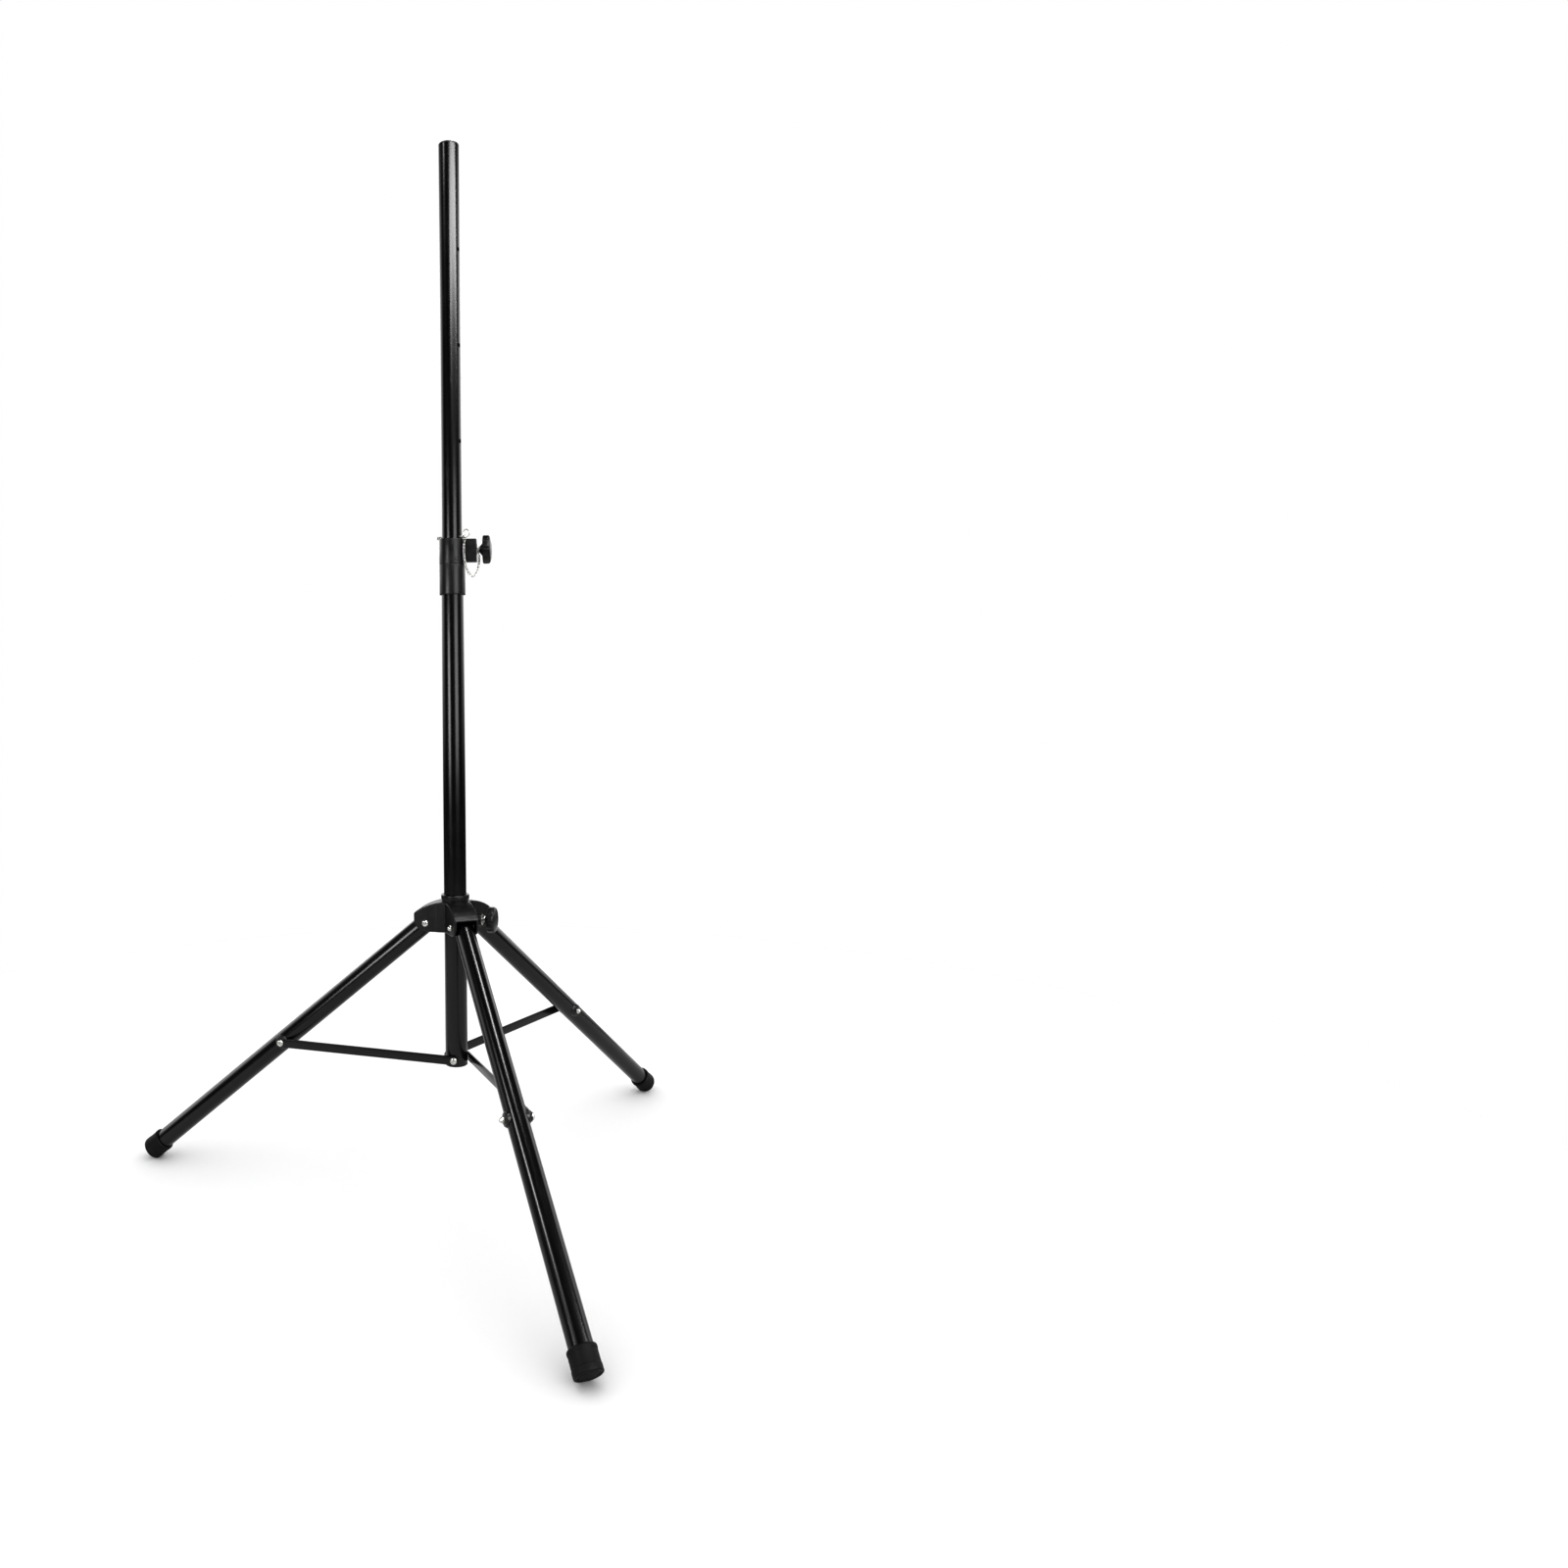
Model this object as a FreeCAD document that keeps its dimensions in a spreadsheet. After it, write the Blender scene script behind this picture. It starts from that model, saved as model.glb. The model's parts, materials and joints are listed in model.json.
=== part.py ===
"""Tripod speaker stand: a round pole that slides in a tube, on three folding legs.

Frame: +Z up, origin on the floor under the pole's axis, millimetres and degrees.
Each leg stands at an azimuth measured from +X towards +Y.  In a leg's own plane,
"out" is away from the pole, and "side" is across the plane, anticlockwise seen from above.
"""
import FreeCAD, Part
import math
import os

import Sketcher
from FreeCAD import Placement, Rotation, Vector

LEGS = (1, 2, 3)
FLUTES = 10
THROUGH = "60.0"    # long enough to cut through any leg, bar or boss
Z_AXIS = Vector(0, 0, 1)
Y_AXIS = Vector(0, 1, 0)
X_AXIS = Vector(1, 0, 0)

SIZES = (
    # pole and tube
    ("pole_radius", 17.5), ("pole_wall", 1.5), ("pole_length", 950.0), ("pole_top", 1777.5),
    ("pole_cap_height", 2.5), ("mark_depth", 0.3), ("mark_width", 1.0), ("mark_below_top", 100.0),
    ("tube_radius", 19.0), ("tube_wall", 1.2), ("tube_bottom", 208.0), ("tube_top", 1080.0),
    ("plug_flange", 2.0), ("plug_depth", 26.0), ("cap_depth", 20.0), ("cap_edge", 1.8),
    ("pole_foot_flange", 2.0), ("pole_foot_depth", 16.0), ("stud_start", 5.0),
    # row of pin holes
    ("pin_height", 1110.5), ("pin_pitch", 163.0), ("pin_radius", 2.75), ("pin_hole_radius", 3.5),
    ("pin_azimuth", -29.0), ("pin_far_end", 29.5), ("pin_near_end", 27.0),
    # collar that guides and clamps the pole
    ("collar_radius", 22.25), ("collar_bottom", 1012.0), ("collar_top", 1107.0),
    ("collar_bore", 17.85), ("collar_groove_height", 1063.0), ("boss_reach", 42.5),
    ("boss_width", 22.0), ("boss_bottom", 1068.5), ("clamp_height", 1089.0), ("clamp_azimuth", -3.0),
    ("rivet_radius", 1.6), ("rivet_head_radius", 2.8), ("rivet_seat_depth", 0.2),
    # clamp screws and knobs, shared by the collar and the hub
    ("screw_radius", 4.0), ("screw_gap", 0.05), ("pad_radius", 5.0), ("pad_length", 3.4),
    ("insert_radius", 6.0), ("insert_flange", 9.0), ("insert_plate", 1.5), ("insert_depth", 12.0),
    ("knob_radius", 24.0), ("hub_knob_radius", 22.0), ("knob_thickness", 20.5),
    ("knob_neck", 6.0), ("knob_socket", 14.0), ("pole_knob_start", 47.0),
    ("hub_knob_start", 52.5), ("pad_gap", 0.05), ("pole_seat_start", 24.0),
    ("hub_seat_start", 28.0),
    ("flute_radius", 4.0), ("flute_depth", 1.1),
    # hub and leg hinges
    ("hub_pivot_height", 451.0), ("hub_pivot_radius", 48.0), ("hub_core_radius", 25.5),
    ("hub_bore", 19.35), ("cheek_inside", 17.0), ("cheek_outside", 21.0), ("hub_boss_radius", 11.0),
    ("hub_boss_reach", 47.0), ("hub_clamp_rise", 5.0), ("pivot_radius", 4.0),
    ("pivot_head_radius", 6.0), ("pivot_head_height", 4.0), ("pivot_nut_height", 7.0),
    ("neck_radius", 24.0), ("hub_top_rise", 36.0), ("bush_depth", 18.0),
    # legs
    ("leg_azimuth", 168.0), ("leg_angle", 50.3), ("leg_length", 685.0), ("leg_radius", 16.5),
    ("leg_wall", 1.5), ("leg_overrun", 11.0), ("foot_radius", 20.0), ("foot_length", 32.0),
    ("foot_edge", 3.0),
    # braces
    ("brace_along_leg", 346.0), ("brace_foot_height", 218.0), ("bar_width", 15.0),
    ("bar_thickness", 3.0), ("bar_inside", 19.5), ("bolt_radius", 3.0), ("bolt_head_radius", 6.0),
    ("bolt_head_height", 3.8), ("saddle_radius", 11.5), ("nut_height", 8.0),
    # chain
    ("wire_radius", 0.7), ("link_pitch", 5.2), ("link_radius", 1.9), ("ring_radius", 6.5),
    ("ring_wire", 0.9),
)


def sizes_sheet(document):
    """A sheet of the driving dimensions: names in column A, numbers in column B."""
    filled = document.addObject("Spreadsheet::Sheet", "Sizes")
    for row, (alias, number) in enumerate(SIZES, start=1):
        filled.set("A%d" % row, alias)
        filled.set("B%d" % row, str(number))
        filled.setAlias("B%d" % row, alias)
    document.recompute()
    return filled


scratch_sheet = sizes_sheet(FreeCAD.newDocument("working_out"))
doc = FreeCAD.newDocument("speaker_stand")
sheet = sizes_sheet(doc)
parts = []


def size(alias):
    """A driving dimension, read from the sheet."""
    return float(sheet.get(alias))


def cells(expression):
    """The expression with each alias written as a reference to the sheet."""
    words = sorted((alias for alias, number in SIZES), key=len, reverse=True)
    out, index = "", 0
    while index < len(expression):
        word = next((w for w in words if expression.startswith(w, index)), None)
        out += "Sizes." + word if word else expression[index]
        index += len(word) if word else 1
    return out


def bind(thing, **expressions):
    """Bind the object's properties to the sheet."""
    for name, expression in expressions.items():
        thing.setExpression(name, cells(str(expression)))
    return thing


def node(thing, label):
    """Name a finished sub-part: its label is its file's name."""
    thing.Label = label
    parts.append(thing)
    return thing


def cylinder(radius, height, place=Placement()):
    thing = bind(doc.addObject("Part::Cylinder", "Cylinder"), Radius=radius, Height=height)
    thing.Placement = place
    return thing


def box(length, width, height, place=Placement()):
    thing = doc.addObject("Part::Box", "Box")
    bind(thing, Length=length, Width=width, Height=height)
    thing.Placement = place
    return thing


def fuse(*things):
    joined = doc.addObject("Part::MultiFuse", "Fuse")
    joined.Shapes = list(things)
    return joined


def cut(base, *tools):
    """Cut one or more tools out of the base."""
    result = doc.addObject("Part::Cut", "Cut")
    result.Base = base
    result.Tool = tools[0] if len(tools) == 1 else group(*tools)
    return result


def group(*things):
    """Separate solids that share one node."""
    together = doc.addObject("Part::Compound", "Group")
    together.Links = list(things)
    return together


def outline(points, place=Placement()):
    """A closed sketch of straight runs, each corner bound to the sheet."""
    sketch = doc.addObject("Sketcher::SketchObject", "Sketch")
    corners = [Vector(value(across), value(up), 0) for across, up in points]
    for index, corner in enumerate(corners):
        following = corners[(index + 1) % len(corners)]
        sketch.addGeometry(Part.LineSegment(corner, following))
    for index in range(len(corners)):
        following = (index + 1) % len(corners)
        sketch.addConstraint(Sketcher.Constraint("Coincident", index, 2, following, 1))
    for index, (across, up) in enumerate(points):
        for kind, expression in (("DistanceX", across), ("DistanceY", up)):
            number = sketch.addConstraint(
                Sketcher.Constraint(kind, -1, 1, index, 1, value(expression)))
            sketch.setExpression("Constraints[%d]" % number, cells(str(expression)))
    sketch.Placement = place
    return sketch


def value(expression):
    """The number that an expression of aliases comes to, worked out in a spare cell."""
    scratch_sheet.set("D1", "=" + str(expression))
    scratch_sheet.recompute()
    return float(scratch_sheet.get("D1"))


def revolve(points, place=Placement()):
    """Turn an outline of (radius, height) corners about its own vertical axis."""
    sketch = outline(points, Placement(Vector(), Rotation(X_AXIS, 90)))
    turned = doc.addObject("Part::Revolution", "Revolve")
    turned.Source = sketch
    turned.Axis = Z_AXIS
    turned.Base = Vector()
    turned.Angle = 360
    turned.Solid = True
    turned.Placement = place
    return turned


def prism(points, half_width, azimuth):
    """An outline of (out, up) corners in a leg's plane, as thick on both sides of it."""
    plane = Rotation(Z_AXIS, azimuth) * Rotation(X_AXIS, 90)
    base = Vector(0, 0, size("hub_pivot_height"))
    solid = doc.addObject("Part::Extrusion", "Prism")
    solid.Base = outline(points, Placement(base, plane))
    solid.DirMode = "Normal"
    solid.Solid = True
    solid.Symmetric = True
    bind(solid, LengthFwd="2 * (%s)" % half_width)
    return solid


def rounded(base, radius, choose):
    """Fillet the edges of base that choose(edge) picks."""
    doc.recompute()
    result = doc.addObject("Part::Fillet", "Rounded")
    result.Base = base
    picked = [i for i, edge in enumerate(base.Shape.Edges, start=1) if choose(edge)]
    result.Edges = [(i, radius, radius) for i in picked]
    return result


def is_rim(edge, radius, height):
    """Whether the edge is a horizontal circle of this radius at this height."""
    if not isinstance(edge.Curve, Part.Circle):
        return False
    centre = edge.Curve.Center
    return abs(edge.Curve.Radius - radius) < 0.01 and abs(centre.z - height) < 0.01


def upright(height):
    return Placement(Vector(0, 0, height), Rotation())


def radial(azimuth, height, start=0.0):
    """Local +Z points out from the pole's axis at this azimuth, starting at a radius."""
    turn = Rotation(Z_AXIS, azimuth) * Rotation(Y_AXIS, 90)
    return Placement(Vector(0, 0, height) + turn.multVec(Vector(0, 0, start)), turn)


def leg_azimuth(leg):
    return size("leg_azimuth") + 120.0 * (leg - 1)


def leg_frame(leg):
    """Origin at the hub pivot, +Z down the leg, +Y to its side."""
    turn = Rotation(Z_AXIS, leg_azimuth(leg)) * Rotation(Y_AXIS, 180.0 - size("leg_angle"))
    out = Rotation(Z_AXIS, leg_azimuth(leg)).multVec(Vector(size("hub_pivot_radius"), 0, 0))
    return Placement(out + Vector(0, 0, size("hub_pivot_height")), turn)


def brace_ends():
    """The brace's two pivots in the leg's plane, as (out, up): on the leg, and on the tube."""
    angle = math.radians(size("leg_angle"))
    reach = size("brace_along_leg")
    out = size("hub_pivot_radius") + reach * math.sin(angle)
    up = size("hub_pivot_height") - reach * math.cos(angle)
    return (out, up), (0.0, size("brace_foot_height"))


def brace_length():
    upper, lower = brace_ends()
    return math.hypot(upper[0] - lower[0], upper[1] - lower[1])


def brace_frame(leg):
    """Origin at the pivot on the leg, +Z along the bar to the tube, +Y to the leg's side."""
    upper, lower = brace_ends()
    slope = math.degrees(math.atan2(lower[0] - upper[0], lower[1] - upper[1]))
    turn = Rotation(Z_AXIS, leg_azimuth(leg)) * Rotation(Y_AXIS, slope)
    out = Rotation(Z_AXIS, leg_azimuth(leg)).multVec(Vector(upper[0], 0, 0))
    return Placement(out + Vector(0, 0, upper[1]), turn)


def across(start, along=0.0):
    """Local +Z points to a frame's side (+Y), from this far across and this far along."""
    return Placement(Vector(0, start, along), Rotation(X_AXIS, -90))


def across_back(start, along=0.0):
    """Local +Z points to the other side (-Y)."""
    return Placement(Vector(0, -start, along), Rotation(X_AXIS, 90))


def domed_head(radius, height, place):
    """A round fastener head with a rounded edge."""
    head = cylinder(radius, height)
    top = value(height)
    edge = rounded(head, 0.45 * top, lambda e: is_rim(e, value(radius), top))
    edge.Placement = place
    return edge


def outer_tube():
    length = "tube_top - tube_bottom"
    shell = cut(cylinder("tube_radius", length, upright(size("tube_bottom"))),
                cylinder("tube_radius - tube_wall", length, upright(size("tube_bottom"))))
    holes = [cylinder("bolt_radius - 0.5", "tube_radius + 1", stud_place(leg)) for leg in LEGS]
    holes.append(cylinder("rivet_radius", "tube_radius + 1", radial(*rivet_spot())))
    node(cut(shell, *holes), "outer_tube")


def stud_place(leg, start=0.0):
    """Out through the tube's wall where a brace is screwed on, to that leg's side."""
    return radial(leg_azimuth(leg) + 90.0, size("brace_foot_height"), start)


def tube_bottom_plug():
    bottom = size("tube_bottom")
    depth = "plug_depth - plug_flange"
    plug = fuse(cylinder("tube_radius", "plug_flange", upright(bottom - size("plug_flange"))),
                cylinder("tube_radius - tube_wall", depth, upright(bottom)))
    holes = [cylinder("bolt_radius - 0.5", "tube_radius", stud_place(leg, size("stud_start")))
             for leg in LEGS]
    node(cut(plug, *holes), "tube_bottom_plug")


def brace_pivot_studs():
    length = "tube_radius - stud_start"
    studs = [cylinder("bolt_radius - 0.5", length, stud_place(leg, size("stud_start")))
             for leg in LEGS]
    node(group(*studs), "brace_pivot_studs")


def inner_pole():
    bottom = size("pole_top") - size("pole_length")
    shell = cut(cylinder("pole_radius", "pole_length", upright(bottom)),
                cylinder("pole_radius - pole_wall", "pole_length", upright(bottom)))
    mark_height = size("pole_top") - size("mark_below_top")
    mark = cut(cylinder("pole_radius + 1", "mark_width", upright(mark_height)),
               cylinder("pole_radius - mark_depth", "mark_width", upright(mark_height)))
    holes = []
    for step in range(-1, 4):
        height = size("pin_height") + step * size("pin_pitch")
        place = radial(size("pin_azimuth"), height, -2 * size("pole_radius"))
        holes.append(cylinder("pin_hole_radius", "4 * pole_radius", place))
    node(cut(shell, mark, *holes), "inner_pole")


def pole_plugs():
    inside = "pole_radius - pole_wall"
    top = size("pole_top")
    cap = fuse(cylinder("pole_radius", "pole_cap_height", upright(top)),
               cylinder(inside, "cap_depth", upright(top - size("cap_depth"))))
    edge_height = top + size("pole_cap_height")
    cap = rounded(cap, size("cap_edge"), lambda e: is_rim(e, size("pole_radius"), edge_height))
    node(cap, "pole_top_cap")
    bottom = top - size("pole_length")
    flange = cylinder("pole_radius", "pole_foot_flange",
                      upright(bottom - size("pole_foot_flange")))
    node(fuse(flange, cylinder(inside, "pole_foot_depth", upright(bottom))), "pole_bottom_plug")


def pole_collar():
    low, high = size("collar_bottom"), size("collar_top")
    azimuth = size("clamp_azimuth")
    sleeve = cylinder("collar_radius", "collar_top - collar_bottom", upright(low))
    boss_base = Vector(0, -size("boss_width") / 2, size("boss_bottom"))
    turn = Rotation(Z_AXIS, azimuth)
    block = box("boss_reach", "boss_width", "collar_top - boss_bottom",
                Placement(turn.multVec(boss_base), turn))
    reach = size("boss_reach")

    def outer_upright(edge):
        middle = edge.CenterOfMass
        far = math.hypot(middle.x, middle.y) > reach
        return far and abs(edge.Vertexes[0].Z - edge.Vertexes[-1].Z) > 5

    body = fuse(sleeve, rounded(block, 5.0, outer_upright))
    body = rounded(body, 1.2, lambda e: is_rim(e, size("collar_radius"), low))
    groove = size("collar_groove_height")
    ring = cut(cylinder("collar_radius + 0.5", "0.8", upright(groove)),
               cylinder("collar_radius - 0.4", "0.8", upright(groove)))
    socket = cylinder("tube_radius", "tube_top - collar_bottom", upright(low))
    bore = cylinder("collar_bore", "collar_top - collar_bottom", upright(low))
    height = size("clamp_height")
    pad_way = cylinder("pad_radius + 0.15", "boss_reach", radial(azimuth, height))
    seat = cylinder("insert_radius", "boss_reach",
                    radial(azimuth, height, size("pole_seat_start")))
    rivet_way = cylinder("rivet_radius", THROUGH, radial(*rivet_spot()))
    spot_face = cylinder("rivet_head_radius + 0.1", "5.0",
                         radial(*rivet_spot(), size("collar_radius") - size("rivet_seat_depth")))
    node(cut(body, ring, socket, bore, pad_way, seat, rivet_way, spot_face), "pole_collar")


def rivet_spot():
    """Azimuth and height of the rivet that ties the collar to the tube."""
    return size("clamp_azimuth") - 66.0, size("collar_groove_height") + 9.0


def collar_rivet():
    azimuth, height = rivet_spot()
    inside = size("tube_radius") - size("tube_wall")
    seat = size("collar_radius") - size("rivet_seat_depth")
    shank = cylinder("rivet_radius", str(seat - inside), radial(azimuth, height, inside))
    head = domed_head("rivet_head_radius", "1.4", radial(azimuth, height, seat))
    node(fuse(shank, head), "collar_rivet")


def clamp_insert(label, azimuth, height, face):
    """A flanged threaded insert: its plate lies on the boss's face."""
    barrel = cylinder("insert_radius", "insert_depth",
                      radial(azimuth, height, face - size("insert_depth")))
    plate = cylinder("insert_flange", "insert_plate", radial(azimuth, height, face))
    thread = cylinder("screw_radius + screw_gap", THROUGH, radial(azimuth, height))
    node(cut(fuse(barrel, plate), thread), label)


def clamp_pad(label, azimuth, height, start):
    """The nylon pad on the screw's tip, a hair clear of what it presses on."""
    pad = cylinder("pad_radius", "pad_length", radial(azimuth, height, start))
    socket = cylinder("screw_radius / 2 + 0.1", "pad_length",
                      radial(azimuth, height, start + 1.4))
    node(cut(pad, socket), label)


def clamp_screw(label, azimuth, height, start, end):
    """The screw, from the neck in the pad's socket to inside the knob."""
    tip = cylinder("screw_radius / 2", "3.0", radial(azimuth, height, start + 1.5))
    shank_start = start + size("pad_length") + 0.1
    shank = cylinder("screw_radius", str(end - shank_start), radial(azimuth, height, shank_start))
    node(fuse(tip, shank), label)


def knob_grip(label, azimuth, height, start, radius):
    """A round knob with a cone neck, a crowned face and shallow flutes round its rim."""
    thick, neck = "knob_thickness", "knob_neck"
    points = (("screw_radius", "0"), ("screw_radius + 1.0", "0"), ("screw_radius + 8", neck),
              (radius + " - 1.0", neck), (radius, neck + " + 1.0"), (radius, thick + " - 4.5"),
              (radius + " - 2.5", thick + " - 2.0"), (radius + " - 9.0", thick + " - 0.3"),
              ("0", thick + " + 0.8"), ("0", "knob_socket"), ("screw_radius", "knob_socket"))
    turned = revolve(points)
    flutes = []
    distance = value(radius) + size("flute_radius") - size("flute_depth")
    for step in range(FLUTES):
        spot = Rotation(Z_AXIS, 360.0 * (step + 0.5) / FLUTES).multVec(Vector(distance, 0, 0))
        flutes.append(cylinder("flute_radius", THROUGH, Placement(spot, Rotation())))
    grip = cut(turned, *flutes)
    grip.Placement = radial(azimuth, height, start)
    node(grip, label)


def clamp(prefix, azimuth, height, pressed, face, knob_start, radius):
    """A whole clamp: insert, pad, screw and knob."""
    clamp_insert(prefix + "_insert", azimuth, height, face)
    start = pressed + size("pad_gap")
    clamp_pad(prefix + "_pad", azimuth, height, start)
    clamp_screw(prefix + "_screw", azimuth, height, start, knob_start + size("knob_socket"))
    knob_grip(prefix + "_knob", azimuth, height, knob_start, radius)


def hub_casting():
    pivot = size("hub_pivot_height")
    body = [cylinder("hub_core_radius", "hub_top_rise + 15", upright(pivot - 15.0))]
    wing = (("18.0", "-15.0"), ("44.0", "-15.0"), ("60.0", "-11.0"), ("68.0", "-2.0"),
            ("68.5", "16.5"), ("62.0", "21.5"), ("53.0", "26.5"), ("42.0", "31.0"),
            ("30.0", "34.5"), ("18.0", "36.0"))
    channel = (("26.0", "-20.0"), ("80.0", "-20.0"), ("80.0", "6.0"), ("68.5", "13.0"),
               ("60.0", "18.5"), ("51.0", "23.4"), ("41.0", "27.4"), ("34.0", "28.0"),
               ("26.0", "24.0"))
    channels, holes = [], []
    for leg in LEGS:
        azimuth = leg_azimuth(leg)
        body.append(prism(wing, "cheek_outside", azimuth))
        channels.append(prism(channel, "cheek_inside", azimuth))
        place = leg_frame(leg).multiply(across(-60.0))
        holes.append(cylinder("pivot_radius", "120.0", place))
    azimuth, height = hub_clamp_spot()
    body.append(cylinder("hub_boss_radius", "hub_boss_reach", radial(azimuth, height)))
    bore = cylinder("hub_bore", "200.0", upright(pivot - 100.0))
    bush_start = pivot + size("hub_top_rise") - size("bush_depth")
    bush_seat = cylinder("hub_bore + 2.0", "100.0", upright(bush_start))
    pad_way = cylinder("pad_radius + 0.15", "hub_boss_reach", radial(azimuth, height))
    seat = cylinder("insert_radius", THROUGH, radial(azimuth, height, size("hub_seat_start")))
    node(cut(fuse(*body), bore, bush_seat, pad_way, seat, *channels, *holes), "hub_casting")


def hub_clamp_spot():
    """Azimuth and height of the hub's clamp, opposite the first leg."""
    return leg_azimuth(1) + 180.0, size("hub_pivot_height") + size("hub_clamp_rise")


def hub_neck_bush():
    points = (("hub_bore", "0"), ("hub_bore + 2.0", "0"), ("hub_bore + 2.0", "bush_depth"),
              ("neck_radius - 1.2", "bush_depth"), ("neck_radius - 1.2", "21.5"),
              ("neck_radius", "22.0"), ("neck_radius", "29.0"),
              ("neck_radius - 1.5", "30.0"), ("hub_bore", "30.0"))
    start = value("hub_pivot_height + hub_top_rise - bush_depth")
    node(revolve(points, upright(start)), "hub_neck_bush")


def hub_pivot_fasteners():
    bolts, nuts = [], []
    for leg in LEGS:
        frame = leg_frame(leg)
        outside = size("cheek_outside")
        shank = cylinder("pivot_radius", "2 * cheek_outside + 5",
                         frame.multiply(across(-outside - 5.0)))
        head = domed_head("pivot_head_radius", "pivot_head_height",
                          frame.multiply(across(outside)))
        bolts.append(fuse(shank, head))
        nut = domed_head("pivot_head_radius - 0.4", "pivot_nut_height",
                         frame.multiply(across_back(outside)))
        hole = cylinder("pivot_radius", "5.0", frame.multiply(across_back(outside)))
        nuts.append(cut(nut, hole))
    node(group(*bolts), "hub_pivot_bolts")
    node(group(*nuts), "hub_pivot_nuts")


def placed(frame, thing, label):
    thing.Placement = frame
    node(thing, label)


def leg_tube(leg):
    length = "leg_length + leg_overrun - 3.0"
    start = upright(-size("leg_overrun"))
    shell = cut(cylinder("leg_radius", length, start),
                cylinder("leg_radius - leg_wall", length, start))
    pivot_way = cylinder("pivot_radius + 0.05", THROUGH, across(-30.0))
    bolt_way = cylinder("bolt_radius", THROUGH, across(-30.0, size("brace_along_leg")))
    placed(leg_frame(leg), cut(shell, pivot_way, bolt_way), "leg_tube_%d" % leg)


def leg_top_plug(leg):
    start = -size("leg_overrun")
    points = (("0", "-1.5"), ("leg_radius - 1.5", "-1.5"), ("leg_radius", "0"),
              ("leg_radius - leg_wall", "0"), ("leg_radius - leg_wall", "26.0"), ("0", "26.0"))
    plug = revolve(points, upright(start))
    pivot_way = cylinder("pivot_radius + 0.05", THROUGH, across(-30.0))
    placed(leg_frame(leg), cut(plug, pivot_way), "leg_top_plug_%d" % leg)


def foot_cap(leg):
    """A rubber cup over the tube's end, worn flat where it meets the floor."""
    points = (("0", "0"), ("foot_radius", "0"), ("foot_radius", "foot_length - 1.2"),
              ("foot_radius - 1.2", "foot_length"), ("leg_radius", "foot_length"),
              ("leg_radius", "3.0"), ("0", "3.0"))
    cup = revolve(points)
    edge = size("foot_edge")
    cup = rounded(cup, edge, lambda e: is_rim(e, size("foot_radius"), 0.0))
    end = Placement(Vector(0, 0, size("leg_length")), Rotation(X_AXIS, 180))
    cup.Placement = leg_frame(leg).multiply(end)
    floor_block = box("400.0", "400.0", "50.0", floor_place(leg))
    node(cut(cup, floor_block), "foot_cap_%d" % leg)


def floor_place(leg):
    """A block under the floor, below this leg's foot."""
    out = size("hub_pivot_radius") + size("leg_length") * math.sin(math.radians(size("leg_angle")))
    spot = Rotation(Z_AXIS, leg_azimuth(leg)).multVec(Vector(out, 0, 0))
    return Placement(spot - Vector(200, 200, 50), Rotation())


def brace_bolt(leg):
    frame = leg_frame(leg)
    along = size("brace_along_leg")
    outside = size("bar_inside") + size("bar_thickness") + 0.15
    shank = cylinder("bolt_radius", str(outside + 25.0), across(-25.0, along))
    head = domed_head("bolt_head_radius", "bolt_head_height", across(outside, along))
    placed(frame, fuse(shank, head), "brace_bolt_%d" % leg)


def brace_nut(leg):
    along = size("brace_along_leg")
    seat = size("bar_inside") - 0.2
    nut = domed_head("bolt_head_radius - 0.5", "nut_height", across_back(seat, along))
    hole = cylinder("bolt_radius", str(25.0 - seat), across_back(seat, along))
    placed(leg_frame(leg), cut(nut, hole), "brace_nut_%d" % leg)


def brace_saddles(leg):
    """Plastic spacers between the leg's round wall and the flat bar, one on each side."""
    along = size("brace_along_leg")
    seat = size("bar_inside") - 0.2
    pair = []
    for place in (across(8.0, along), across_back(8.0, along)):
        blank = cylinder("saddle_radius", str(seat - 8.0), place)
        tube = cylinder("leg_radius", THROUGH, upright(along - 30.0))
        way = cylinder("bolt_radius", THROUGH, across(-30.0, along))
        pair.append(cut(blank, tube, way))
    placed(leg_frame(leg), group(*pair), "brace_saddles_%d" % leg)


def brace_bar(leg):
    """A flat bar with round ends and a hole in each."""
    length = brace_length()
    inside = size("bar_inside")
    strap = box("bar_width", "bar_thickness", str(length),
                Placement(Vector(-size("bar_width") / 2, inside, 0), Rotation()))
    ends = [cylinder("bar_width / 2", "bar_thickness", across(inside, at)) for at in (0, length)]
    running = cylinder("bolt_radius + 0.05", "40.0", across(0.0))
    tight = cylinder("bolt_radius", "40.0", across(0.0, length))
    placed(brace_frame(leg), cut(fuse(strap, *ends), running, tight), "brace_bar_%d" % leg)


def brace_screw(leg):
    length = brace_length()
    inside, outside = size("bar_inside"), size("bar_inside") + size("bar_thickness")
    shank = cylinder("bolt_radius", "bar_thickness", across(inside, length))
    head = domed_head("bolt_head_radius", "bolt_head_height", across(outside, length))
    placed(brace_frame(leg), fuse(shank, head), "brace_screw_%d" % leg)


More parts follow.
